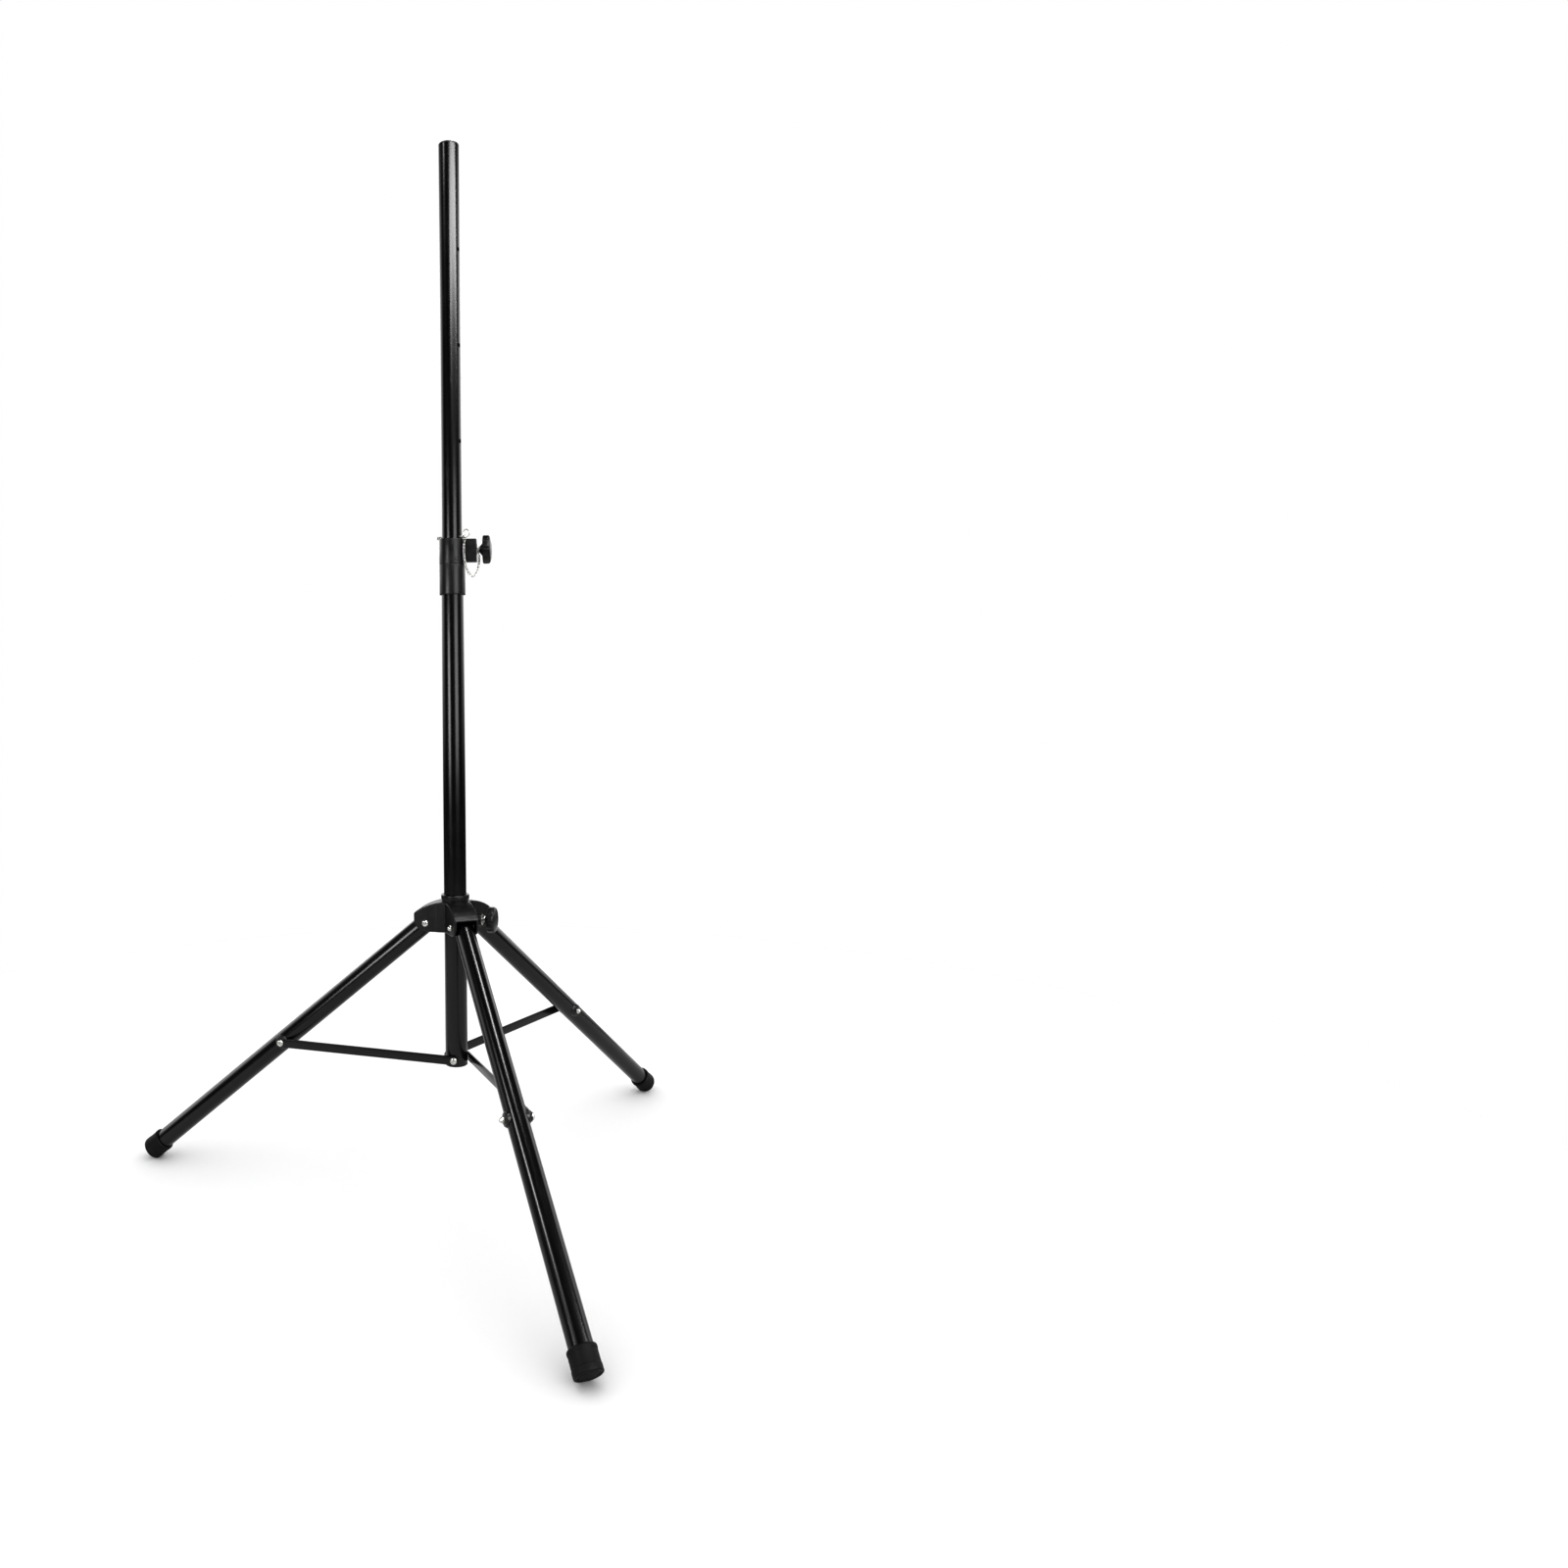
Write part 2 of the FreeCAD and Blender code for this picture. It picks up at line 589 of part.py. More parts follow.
def link_shape():
    """One chain link: round wire bent to a long oval, along +X."""
    half = size("link_pitch") / 2 - size("wire_radius") * 0.2
    bend = size("link_radius")
    straight = half + size("wire_radius") - bend
    wire = Part.Wire([
        Part.LineSegment(Vector(-straight, bend, 0), Vector(straight, bend, 0)).toShape(),
        Part.Arc(Vector(straight, bend, 0), Vector(straight + bend, 0, 0),
                 Vector(straight, -bend, 0)).toShape(),
        Part.LineSegment(Vector(straight, -bend, 0), Vector(-straight, -bend, 0)).toShape(),
        Part.Arc(Vector(-straight, -bend, 0), Vector(-straight - bend, 0, 0),
                 Vector(-straight, bend, 0)).toShape()])
    circle = Part.Circle(Vector(-straight, bend, 0), X_AXIS, size("wire_radius"))
    section = Part.Wire([circle.toShape()])
    return wire.makePipeShell([section], True, True)


def chain_route():
    """The way the chain hangs: from the pin's ring down past the boss and up to the screw."""
    low = size("clamp_height")
    spots = ((21.5, -16.5, 17.0), (21.0, -17.5, 8.0), (20.5, -18.0, -6.0), (22.5, -17.5, -24.0),
             (27.5, -14.5, -39.0), (34.5, -11.0, -46.0), (41.5, -7.0, -40.0), (45.5, -4.0, -25.0),
             (46.2, -2.9, -9.6))
    curve = Part.BSplineCurve()
    curve.interpolate([Vector(x, y, low + z) for x, y, z in spots])
    return curve


def chain_links():
    """Links one pitch apart along the route, every second one turned a quarter."""
    curve = chain_route()
    count = int(curve.length() / size("link_pitch"))
    links = []
    for index in range(count):
        at = curve.parameterAtDistance((index + 0.5) * curve.length() / count)
        tangent = curve.tangent(at)[0]
        turn = Rotation(X_AXIS, tangent) * Rotation(X_AXIS, 45.0 + 90.0 * (index % 2))
        link = link_shape()
        link.Placement = Placement(curve.value(at), turn)
        links.append(link)
    return links


def safety_pin_set():
    """The pin, its pull ring and the chain that ties it to the clamp."""
    azimuth, height = size("pin_azimuth"), size("pin_height")
    length = size("pin_far_end") + size("pin_near_end")
    start = radial(azimuth, height, -size("pin_far_end"))
    pin = Part.makeCylinder(size("pin_radius"), length)
    pin = pin.makeFillet(1.2, [e for e in pin.Edges if is_rim(e, size("pin_radius"), 0.0)])
    pin.Placement = start
    eye = Part.makeCylinder(1.3, 10)
    out = radial(azimuth, height, size("pin_near_end") - 3.0)
    eye.Placement = Placement(out.Base, Rotation(Z_AXIS, azimuth + 90) * Rotation(Y_AXIS, 90))
    eye.translate(eye.Placement.Rotation.multVec(Vector(0, 0, -5)))
    pin = pin.cut(eye)
    ring = Part.makeTorus(size("ring_radius"), size("ring_wire"))
    lean = Rotation(Z_AXIS, azimuth) * Rotation(X_AXIS, 90)
    offset = lean.multVec(Vector(0.62, 0.78, 0) * size("ring_radius"))
    ring.Placement = Placement(out.Base + offset, lean)
    together = doc.addObject("Part::Feature", "PinSet")
    together.Shape = Part.makeCompound([pin, ring] + chain_links())
    node(together, "safety_pin_set")


def chain_anchor_ring():
    """The chain's last ring, which hangs round the clamp screw."""
    azimuth, height = size("clamp_azimuth"), size("clamp_height")
    ring = doc.addObject("Part::Torus", "Ring")
    bind(ring, Radius1="screw_radius + 2.2", Radius2="ring_wire")
    ring.Placement = radial(azimuth, height - 1.0, size("boss_reach") + 3.6)
    node(ring, "chain_anchor_ring")


def check_and_write():
    """Stop on any failed object, then write each sub-part to its own file."""
    doc.recompute()
    for thing in doc.Objects:
        if "Invalid" in thing.State or "Error" in thing.State:
            raise RuntimeError("failed: %s %s" % (thing.Name, thing.State))
    os.makedirs("parts", exist_ok=True)
    for thing in parts:
        shape = thing.Shape
        if shape.isNull() or not shape.isValid() or not shape.Solids:
            raise RuntimeError("bad shape: %s" % thing.Label)
        shape.exportStep("parts/%s.step" % thing.Label)
        print("%-20s %2d solids %10.1f mm3" % (thing.Label, len(shape.Solids), shape.Volume))


outer_tube()
tube_bottom_plug()
brace_pivot_studs()
inner_pole()
pole_plugs()
pole_collar()
collar_rivet()
clamp("pole_clamp", size("clamp_azimuth"), size("clamp_height"), size("pole_radius"),
      size("boss_reach"), size("pole_knob_start"), "knob_radius")
hub_casting()
hub_neck_bush()
hub_pivot_fasteners()
clamp("hub_clamp", *hub_clamp_spot(), size("tube_radius"),
      size("hub_boss_reach"), size("hub_knob_start"), "hub_knob_radius")
for leg in LEGS:
    leg_tube(leg)
    leg_top_plug(leg)
    foot_cap(leg)
    brace_bolt(leg)
    brace_nut(leg)
    brace_saddles(leg)
    brace_bar(leg)
    brace_screw(leg)
safety_pin_set()
chain_anchor_ring()
check_and_write()
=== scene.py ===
"""Looks of the tripod speaker stand: materials, detailed meshes, chain, floor, lights, camera.

Metres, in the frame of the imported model. A piece for a leg or a brace is built in that
leg's own frame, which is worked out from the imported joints.
"""

import json
import math

import bmesh
import bpy
from mathutils import Matrix, Vector


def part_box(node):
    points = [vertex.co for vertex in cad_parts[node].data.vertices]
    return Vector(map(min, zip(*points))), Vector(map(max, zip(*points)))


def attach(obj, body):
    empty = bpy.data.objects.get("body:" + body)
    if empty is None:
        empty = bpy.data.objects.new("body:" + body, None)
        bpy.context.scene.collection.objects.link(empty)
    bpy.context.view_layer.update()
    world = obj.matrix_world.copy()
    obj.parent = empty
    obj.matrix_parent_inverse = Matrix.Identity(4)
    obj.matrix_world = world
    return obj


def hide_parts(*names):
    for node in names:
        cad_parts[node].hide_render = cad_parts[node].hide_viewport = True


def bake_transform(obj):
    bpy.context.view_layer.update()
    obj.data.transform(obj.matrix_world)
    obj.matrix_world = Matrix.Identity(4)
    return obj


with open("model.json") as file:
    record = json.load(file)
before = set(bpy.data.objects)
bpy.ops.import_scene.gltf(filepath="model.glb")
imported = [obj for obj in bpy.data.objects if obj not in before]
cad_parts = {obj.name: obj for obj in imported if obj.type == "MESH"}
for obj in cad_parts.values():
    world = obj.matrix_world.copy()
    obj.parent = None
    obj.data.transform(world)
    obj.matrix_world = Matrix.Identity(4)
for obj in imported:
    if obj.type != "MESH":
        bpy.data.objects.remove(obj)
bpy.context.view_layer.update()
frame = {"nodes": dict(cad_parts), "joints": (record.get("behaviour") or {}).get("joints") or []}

MM = 0.001
SEGMENTS = 96
UP = Vector((0, 0, 1))
LEGS = (1, 2, 3)
JOINTS = {joint["name"]: joint for joint in frame["joints"]}

# driving sizes, in metres, that the joints and boxes of the frame don't give
POLE_RADIUS = 17.5 * MM
POLE_WALL = 1.5 * MM
TUBE_RADIUS = 19.0 * MM
TUBE_WALL = 1.2 * MM
LEG_RADIUS = 16.5 * MM
LEG_WALL = 1.5 * MM
LEG_LENGTH = 685.0 * MM  # from the hub's pivot to the end of the foot
FOOT_RADIUS = 20.0 * MM
FOOT_LENGTH = 32.0 * MM
BAR_INSIDE = 19.5 * MM
BAR_THICKNESS = 3.0 * MM
BAR_WIDTH = 15.0 * MM
CHEEK_OUTSIDE = 21.0 * MM
COLLAR_RADIUS = 22.25 * MM
KNOB_SOCKET = 14.0 * MM
HOLE_PITCH = 163.0 * MM
HOLE_RADIUS = 3.5 * MM
PAD_BORE = 5.15 * MM
SCREW_BORE = 6.0 * MM
PIN_RADIUS = 2.75 * MM
PIN_RING_RADIUS = 6.5 * MM
RING_WIRE = 0.9 * MM


# ---------------------------------------------------------------- frames

def axes(origin, z_axis, y_axis):
    """A matrix whose local Z and Y point along these directions."""
    z, y = Vector(z_axis).normalized(), Vector(y_axis).normalized()
    x = y.cross(z)
    matrix = Matrix((x, y, z)).transposed().to_4x4()
    matrix.translation = Vector(origin)
    return matrix


def leg_frame(leg):
    """Origin at the hub pivot, +Z down the leg, +Y to the side the brace is on."""
    hinge, knee = JOINTS["leg_fold_%d" % leg], JOINTS["brace_fold_%d" % leg]
    pivot, bolt = Vector(hinge["pos_m"]), Vector(knee["pos_m"])
    return axes(pivot, bolt - pivot, hinge["axis"])


def brace_along_leg():
    pivot = Vector(JOINTS["leg_fold_1"]["pos_m"])
    return (Vector(JOINTS["brace_fold_1"]["pos_m"]) - pivot).length


def brace_frame(leg):
    """Origin at the bolt on the leg, +Z along the bar to the tube, +Y to the leg's side."""
    bolt = Vector(JOINTS["brace_fold_%d" % leg]["pos_m"])
    side = Vector(JOINTS["brace_fold_%d" % leg]["axis"])
    stud = Vector((0, 0, brace_foot_height()))
    return axes(bolt, stud - bolt, side)


def brace_foot_height():
    low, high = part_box("brace_pivot_studs")
    return (low.z + high.z) / 2


def brace_length():
    bolt = Vector(JOINTS["brace_fold_1"]["pos_m"])
    return (Vector((0, 0, brace_foot_height())) - bolt).length


def clamp_frame(joint, start):
    """+Z out along a clamp's screw, from a distance off the pole's axis."""
    axis = Vector(JOINTS[joint]["axis"])
    height = JOINTS[joint]["pos_m"][2]
    return axes(axis * start + UP * height, axis, UP)


def side_frame(base, start, along=0.0, flip=False):
    """+Z out to the side (or the other side, flipped) of a leg's or a brace's frame."""
    turn = Matrix.Rotation(math.radians(90 if flip else -90), 4, "X")
    shift = Matrix.Translation((0, -start if flip else start, along))
    return base @ shift @ turn


# ---------------------------------------------------------------- mesh making

def finish_mesh(name, bm, matrix, smooth_angle=32):
    """Turn a bmesh into an object, placed by the matrix, with smooth shading up to an angle."""
    bmesh.ops.recalc_face_normals(bm, faces=bm.faces)
    mesh = bpy.data.meshes.new(name)
    bm.to_mesh(mesh)
    bm.free()
    for polygon in mesh.polygons:
        polygon.use_smooth = True
    mesh.set_sharp_from_angle(angle=math.radians(smooth_angle))
    piece = bpy.data.objects.new(name, mesh)
    bpy.context.scene.collection.objects.link(piece)
    piece.matrix_world = matrix
    return piece


def round_corners(points, radius, steps=4):
    """A closed outline with each corner cut to an arc, no larger than its runs allow."""
    rounded = []
    count = len(points)
    for index, corner in enumerate(points):
        corner = Vector(corner)
        before, after = Vector(points[index - 1]), Vector(points[(index + 1) % count])
        own = radius[index] if isinstance(radius, (list, tuple)) else radius
        back, ahead = before - corner, after - corner
        reach = min(own, 0.45 * back.length, 0.45 * ahead.length)
        if reach < 1e-6 or corner.x < 1e-7:
            rounded.append(tuple(corner))
            continue
        start, end = corner + back.normalized() * reach, corner + ahead.normalized() * reach
        for step in range(steps + 1):
            t = step / steps
            spot = start * (1 - t) ** 2 + corner * 2 * t * (1 - t) + end * t ** 2
            rounded.append(tuple(spot))
    return rounded


def lathe_bmesh(profile, segments=SEGMENTS, radius_at=None):
    """Turn a closed (radius, height) outline about Z. radius_at can shape it round the turn."""
    bm = bmesh.new()
    rows = []
    for radius, height in profile:
        if radius < 1e-7:
            rows.append([bm.verts.new((0, 0, height))])
            continue
        ring = []
        for step in range(segments):
            angle = 2 * math.pi * step / segments
            r, h = radius_at(radius, height, angle) if radius_at else (radius, height)
            ring.append(bm.verts.new((r * math.cos(angle), r * math.sin(angle), h)))
        rows.append(ring)
    for first, second in zip(rows, rows[1:] + rows[:1]):
        if len(first) == 1 and len(second) == 1:
            continue
        for step in range(segments):
            following = (step + 1) % segments
            corners = []
            for ring, order in ((first, (step, following)), (second, (following, step))):
                corners += [ring[0]] if len(ring) == 1 else [ring[i] for i in order]
            bm.faces.new(corners)
    return bm


def lathe(name, profile, matrix, rounding=0.0, segments=SEGMENTS, radius_at=None):
    outline = round_corners(profile, rounding) if rounding else profile
    return finish_mesh(name, lathe_bmesh(outline, segments, radius_at), matrix)


def pipe(name, outer, wall, length, matrix, edge=0.4 * MM):
    """A round tube open at both ends, with its rims eased."""
    inner = outer - wall
    profile = [(inner, 0), (outer, 0), (outer, length), (inner, length)]
    return lathe(name, profile, matrix, rounding=edge)


def plate_bmesh(points, low, high, bevel, steps=3):
    """A flat outline of (x, z) points, thickened along Y, with its edges rounded."""
    bm = bmesh.new()
    bottom = [bm.verts.new((x, low, z)) for x, z in points]
    top = [bm.verts.new((x, high, z)) for x, z in points]
    bm.faces.new(bottom)
    bm.faces.new(list(reversed(top)))
    for index in range(len(points)):
        following = (index + 1) % len(points)
        bm.faces.new((bottom[index], top[index], top[following], bottom[following]))
    bmesh.ops.recalc_face_normals(bm, faces=bm.faces)
    rims = [edge for edge in bm.edges if len({round(v.co.y, 7) for v in edge.verts}) == 1]
    bmesh.ops.bevel(bm, geom=rims, offset=bevel, segments=steps, profile=0.5,
                    affect="EDGES", clamp_overlap=True)
    return bm


def sweep_bmesh(path, radius, sides=12):
    """Round wire along a closed path of points."""
    bm = bmesh.new()
    rings = []
    normal = None
    for index, point in enumerate(path):
        ahead, behind = path[(index + 1) % len(path)], path[index - 1]
        tangent = (ahead - behind).normalized()
        if normal is None:
            seed = UP if abs(tangent.z) < 0.9 else Vector((1, 0, 0))
            normal = tangent.cross(seed).normalized()
        normal = (normal - tangent * normal.dot(tangent)).normalized()
        across = tangent.cross(normal)
        ring = []
        for side in range(sides):
            angle = 2 * math.pi * side / sides
            offset = normal * math.cos(angle) + across * math.sin(angle)
            ring.append(bm.verts.new(point + offset * radius))
        rings.append(ring)
    for first, second in zip(rings, rings[1:] + rings[:1]):
        for side in range(sides):
            following = (side + 1) % sides
            bm.faces.new((first[side], first[following], second[following], second[side]))
    return bm


def apply_modifiers(piece):
    bpy.context.view_layer.update()
    evaluated = piece.evaluated_get(bpy.context.evaluated_depsgraph_get())
    mesh = bpy.data.meshes.new_from_object(evaluated)
    old = piece.data
    piece.modifiers.clear()
    piece.data = mesh
    bpy.data.meshes.remove(old)
    return piece


def boolean(piece, others, operation):
    """Join or cut with other objects, which are then deleted."""
    for other in others:
        modifier = piece.modifiers.new("Shape", "BOOLEAN")
        modifier.object = other
        modifier.operation = operation
        modifier.solver = "EXACT"
        apply_modifiers(piece)
        bpy.data.objects.remove(other)
    if not piece.data.polygons:
        raise ValueError("nothing is left of %s" % piece.name)
    return piece


def smooth_shaded(piece, angle=32):
    for polygon in piece.data.polygons:
        polygon.use_smooth = True
    piece.data.set_sharp_from_angle(angle=math.radians(angle))
    return piece


def moulded(piece, voxel, rounds, keep):
    """Give a joined shape the even soft edges of a moulding, then thin its flat areas out."""
    remesh = piece.modifiers.new("Voxels", "REMESH")
    remesh.mode = "VOXEL"
    remesh.voxel_size = voxel
    smoothing = piece.modifiers.new("Soften", "SMOOTH")
    smoothing.factor = 0.5
    smoothing.iterations = rounds
    thinning = piece.modifiers.new("Thin", "DECIMATE")
    thinning.ratio = keep
    apply_modifiers(piece)
    return smooth_shaded(piece, 50)


def drill(radius, length, matrix):
    """A plain cutter along local Z, centred on the matrix."""
    profile = [(0, -length / 2), (radius, -length / 2), (radius, length / 2), (0, length / 2)]
    return finish_mesh("cutter", lathe_bmesh(profile, 48), matrix)


# ---------------------------------------------------------------- materials

def new_material(name):
    material = bpy.data.materials.new(name)
    material.use_nodes = True
    tree = material.node_tree
    return material, tree, tree.nodes["Principled BSDF"]


def add(tree, kind, **inputs):
    """A shader node with some of its sockets set or linked."""
    made = tree.nodes.new(kind)
    for socket, content in inputs.items():
        target = made.inputs[socket.replace("_", " ")]
        if isinstance(content, bpy.types.NodeSocket):
            tree.links.new(content, target)
        else:
            target.default_value = content
    return made


def noise(tree, scale, detail=4.0, roughness=0.55, stretch=None):
    """Noise in the object's own space, so that it stays put, shifted from piece to piece."""
    chance = add(tree, "ShaderNodeObjectInfo").outputs["Random"]
    shift = add(tree, "ShaderNodeVectorMath", Vector=(3.1, 1.7, 2.3))
    shift.operation = "SCALE"
    tree.links.new(chance, shift.inputs["Scale"])
    where = add(tree, "ShaderNodeMapping", Location=shift.outputs["Vector"],
                Vector=add(tree, "ShaderNodeTexCoord").outputs["Object"],
                Scale=stretch or (1.0, 1.0, 1.0)).outputs["Vector"]
    made = add(tree, "ShaderNodeTexNoise", Vector=where, Scale=scale, Detail=detail,
               Roughness=roughness)
    return made.outputs["Fac"]


def ramp(tree, factor, *stops):
    """A colour ramp of (position, grey or colour) stops."""
    made = add(tree, "ShaderNodeValToRGB", Fac=factor)
    elements = made.color_ramp.elements
    while len(elements) < len(stops):
        elements.new(0.5)
    for element, (position, colour) in zip(elements, stops):
        element.position = position
        grey = isinstance(colour, (int, float))
        element.color = (colour, colour, colour, 1) if grey else (*colour, 1)
    return made.outputs["Color"]


def bump(tree, shader, *layers):
    """Stack bump layers, each (height socket, strength, distance in metres)."""
    normal = None
    for height, strength, distance in layers:
        made = add(tree, "ShaderNodeBump", Height=height, Strength=strength, Distance=distance)
        if normal:
            tree.links.new(normal, made.inputs["Normal"])
        normal = made.outputs["Normal"]
    tree.links.new(normal, shader.inputs["Normal"])


def product(tree, first, second):
    made = add(tree, "ShaderNodeMath")
    made.operation = "MULTIPLY"
    tree.links.new(first, made.inputs[0])
    tree.links.new(second, made.inputs[1])
    return made.outputs["Value"]


def tube_paint(name, dark, worn, lengthwise):
    """Baked black on steel tube: faint orange peel, fine lengthwise rubs, a little dust."""
    material, tree, shader = new_material(name)
    rubs = noise(tree, 260.0, 3.0, 0.55, stretch=(1.0, 1.0, lengthwise))
    patches = noise(tree, 11.0, 4.0)
    wear = product(tree, rubs, patches)
    tree.links.new(ramp(tree, wear, (0.26, dark), (0.44, worn)), shader.inputs["Base Color"])
    tree.links.new(ramp(tree, wear, (0.18, 0.215), (0.32, 0.225), (0.46, 0.245)),
                   shader.inputs["Roughness"])
    shader.inputs["Specular IOR Level"].default_value = 0.5
    bump(tree, shader, (noise(tree, 240.0, 2.0), 0.03, 0.00008), (rubs, 0.02, 0.00002))
    return material


def moulded_plastic(name, base, roughness, grain, grain_scale):
    """Fine-grained nylon: spark-eroded texture, slight flow marks and paler scuffs."""
    material, tree, shader = new_material(name)
    scuffs = noise(tree, 120.0, 8.0, 0.7)
    pale = tuple(min(1.0, c * 2.0 + 0.006) for c in base)
    tint = ramp(tree, scuffs, (0.55, base), (0.78, pale))
    tree.links.new(tint, shader.inputs["Base Color"])
    flow = noise(tree, 30.0, 3.0)
    tree.links.new(ramp(tree, flow, (0.3, roughness - 0.06), (0.7, roughness + 0.08)),
                   shader.inputs["Roughness"])
    shader.inputs["Specular IOR Level"].default_value = 0.45
    cells = add(tree, "ShaderNodeTexVoronoi",
                Vector=add(tree, "ShaderNodeTexCoord").outputs["Object"], Scale=grain_scale)
    bump(tree, shader, (cells.outputs["Distance"], grain, 0.00015),
         (noise(tree, grain_scale * 0.4, 3.0), grain * 0.6, 0.0002))
    return material


def nickel():
    """Barrel-plated nickel: bright, with fine all-round scratches and a cloudy tone that is
    darker in random patches.
    """
    material, tree, shader = new_material("nickel")
    shader.inputs["Metallic"].default_value = 1.0
    clouds = noise(tree, 260.0, 5.0, 0.6)
    tint = ramp(tree, clouds, (0.3, (0.44, 0.435, 0.42)), (0.7, (0.66, 0.65, 0.63)))
    tree.links.new(tint, shader.inputs["Base Color"])
    scratches = noise(tree, 2200.0, 4.0, 0.7, stretch=(1.0, 0.15, 1.0))
    tree.links.new(ramp(tree, scratches, (0.35, 0.20), (0.7, 0.34)), shader.inputs["Roughness"])
    bump(tree, shader, (scratches, 0.08, 0.00005), (clouds, 0.06, 0.0001))
    return material


def rubber():
    """Matte rubber: soft bloom, fine pitting and dusty scuffs."""
    material, tree, shader = new_material("black_rubber")
    dust = noise(tree, 70.0, 8.0, 0.75)
    tint = ramp(tree, dust, (0.45, (0.0040, 0.0040, 0.0042)), (0.66, (0.0075, 0.0074, 0.0072)),
                (0.82, (0.018, 0.0175, 0.0165)))
    tree.links.new(tint, shader.inputs["Base Color"])
    tree.links.new(ramp(tree, dust, (0.4, 0.52), (0.75, 0.78)), shader.inputs["Roughness"])
    shader.inputs["Specular IOR Level"].default_value = 0.22
    shader.inputs["Sheen Weight"].default_value = 0.01
    bump(tree, shader, (noise(tree, 900.0, 4.0, 0.6), 0.18, 0.0002),
         (noise(tree, 160.0, 3.0), 0.10, 0.0004))
    return material


def floor_material():
    material, tree, shader = new_material("floor_pale")
    tone = noise(tree, 1.2, 3.0)
    tree.links.new(ramp(tree, tone, (0.3, 0.80), (0.7, 0.83)), shader.inputs["Base Color"])
    shader.inputs["Roughness"].default_value = 0.75
    shader.inputs["Specular IOR Level"].default_value = 0.2
    return material


PAINT = tube_paint("black_paint", (0.0018, 0.0018, 0.0020), (0.009, 0.009, 0.0093), 0.08)
POLE_PAINT = tube_paint("pole_paint", (0.0018, 0.0018, 0.0020), (0.014, 0.014, 0.0143), 0.012)
PLASTIC = moulded_plastic("black_plastic", (0.012, 0.012, 0.0126), 0.31, 0.22, 1500.0)
HUB_PLASTIC = moulded_plastic("hub_plastic", (0.005, 0.005, 0.0053), 0.38, 0.35, 1100.0)
KNOB_PLASTIC = moulded_plastic("knob_plastic", (0.005, 0.005, 0.0053), 0.30, 0.18, 1700.0)
NYLON = moulded_plastic("pad_nylon", (0.62, 0.60, 0.54), 0.5, 0.12, 1500.0)
NICKEL = nickel()
RUBBER = rubber()


def dress(piece, body, material, slot, *nodes):
    """Give a finished piece its material, its body and the CAD nodes it stands for."""
    piece.data.materials.clear()
    piece.data.materials.append(material)
    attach(piece, body)
    if nodes:
        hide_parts(*nodes)
    return piece


# ---------------------------------------------------------------- pole and tube

def pin_axis():
    return Vector(JOINTS["pin_pull"]["axis"])


def pin_height():
    """The pin's height: the middle of the pole's holes is on it, just above the collar."""
    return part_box("pole_collar")[1].z + 3.5 * MM


def pole():
    low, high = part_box("inner_pole")
    piece = pipe("pole_tube", POLE_RADIUS, POLE_WALL, high.z - low.z,
                 Matrix.Translation((0, 0, low.z)), edge=0.3 * MM)
    cutters = []
    for step in range(-1, 4):
        height = pin_height() + step * HOLE_PITCH
        matrix = axes((0, 0, height), pin_axis(), UP)
        cutters.append(drill(HOLE_RADIUS, 3 * POLE_RADIUS, matrix))
    boolean(piece, cutters, "DIFFERENCE")
    dress(smooth_shaded(piece), "pole", POLE_PAINT, "black_paint", "inner_pole")

    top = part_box("pole_top_cap")[1].z
    base = top - 2.5 * MM
    inside = POLE_RADIUS - POLE_WALL
    profile = [(0, base - 20 * MM), (inside, base - 20 * MM), (inside, base),
               (POLE_RADIUS, base), (POLE_RADIUS, top), (6.5 * MM, top),
               (5.5 * MM, top - 0.8 * MM), (0, top - 0.8 * MM)]
    cap = lathe("pole_cap", profile, Matrix.Identity(4),
                rounding=[0, 0.5 * MM, 0, 0.2 * MM, 2.0 * MM, 0.4 * MM, 0.4 * MM, 0])
    dress(cap, "pole", PLASTIC, "black_plastic", "pole_top_cap")

    bottom = low.z
    profile = [(0, bottom - 2 * MM), (POLE_RADIUS, bottom - 2 * MM), (POLE_RADIUS, bottom),
               (inside, bottom), (inside, bottom + 16 * MM), (0, bottom + 16 * MM)]
    plug = lathe("pole_lower_plug", profile, Matrix.Identity(4), rounding=0.6 * MM)
    dress(plug, "pole", PLASTIC, "black_plastic", "pole_bottom_plug")


def tube():
    low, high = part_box("outer_tube")
    piece = pipe("stand_tube_shell", TUBE_RADIUS, TUBE_WALL, high.z - low.z,
                 Matrix.Translation((0, 0, low.z)), edge=0.3 * MM)
    dress(piece, "stand_tube", PAINT, "black_paint", "outer_tube")

    inside = TUBE_RADIUS - TUBE_WALL
    profile = [(0, low.z - 2 * MM), (TUBE_RADIUS, low.z - 2 * MM), (TUBE_RADIUS, low.z),
               (inside, low.z), (inside, low.z + 24 * MM), (0, low.z + 24 * MM)]
    plug = lathe("tube_foot_plug", profile, Matrix.Identity(4), rounding=1.0 * MM)
    dress(plug, "stand_tube", PLASTIC, "black_plastic", "tube_bottom_plug")


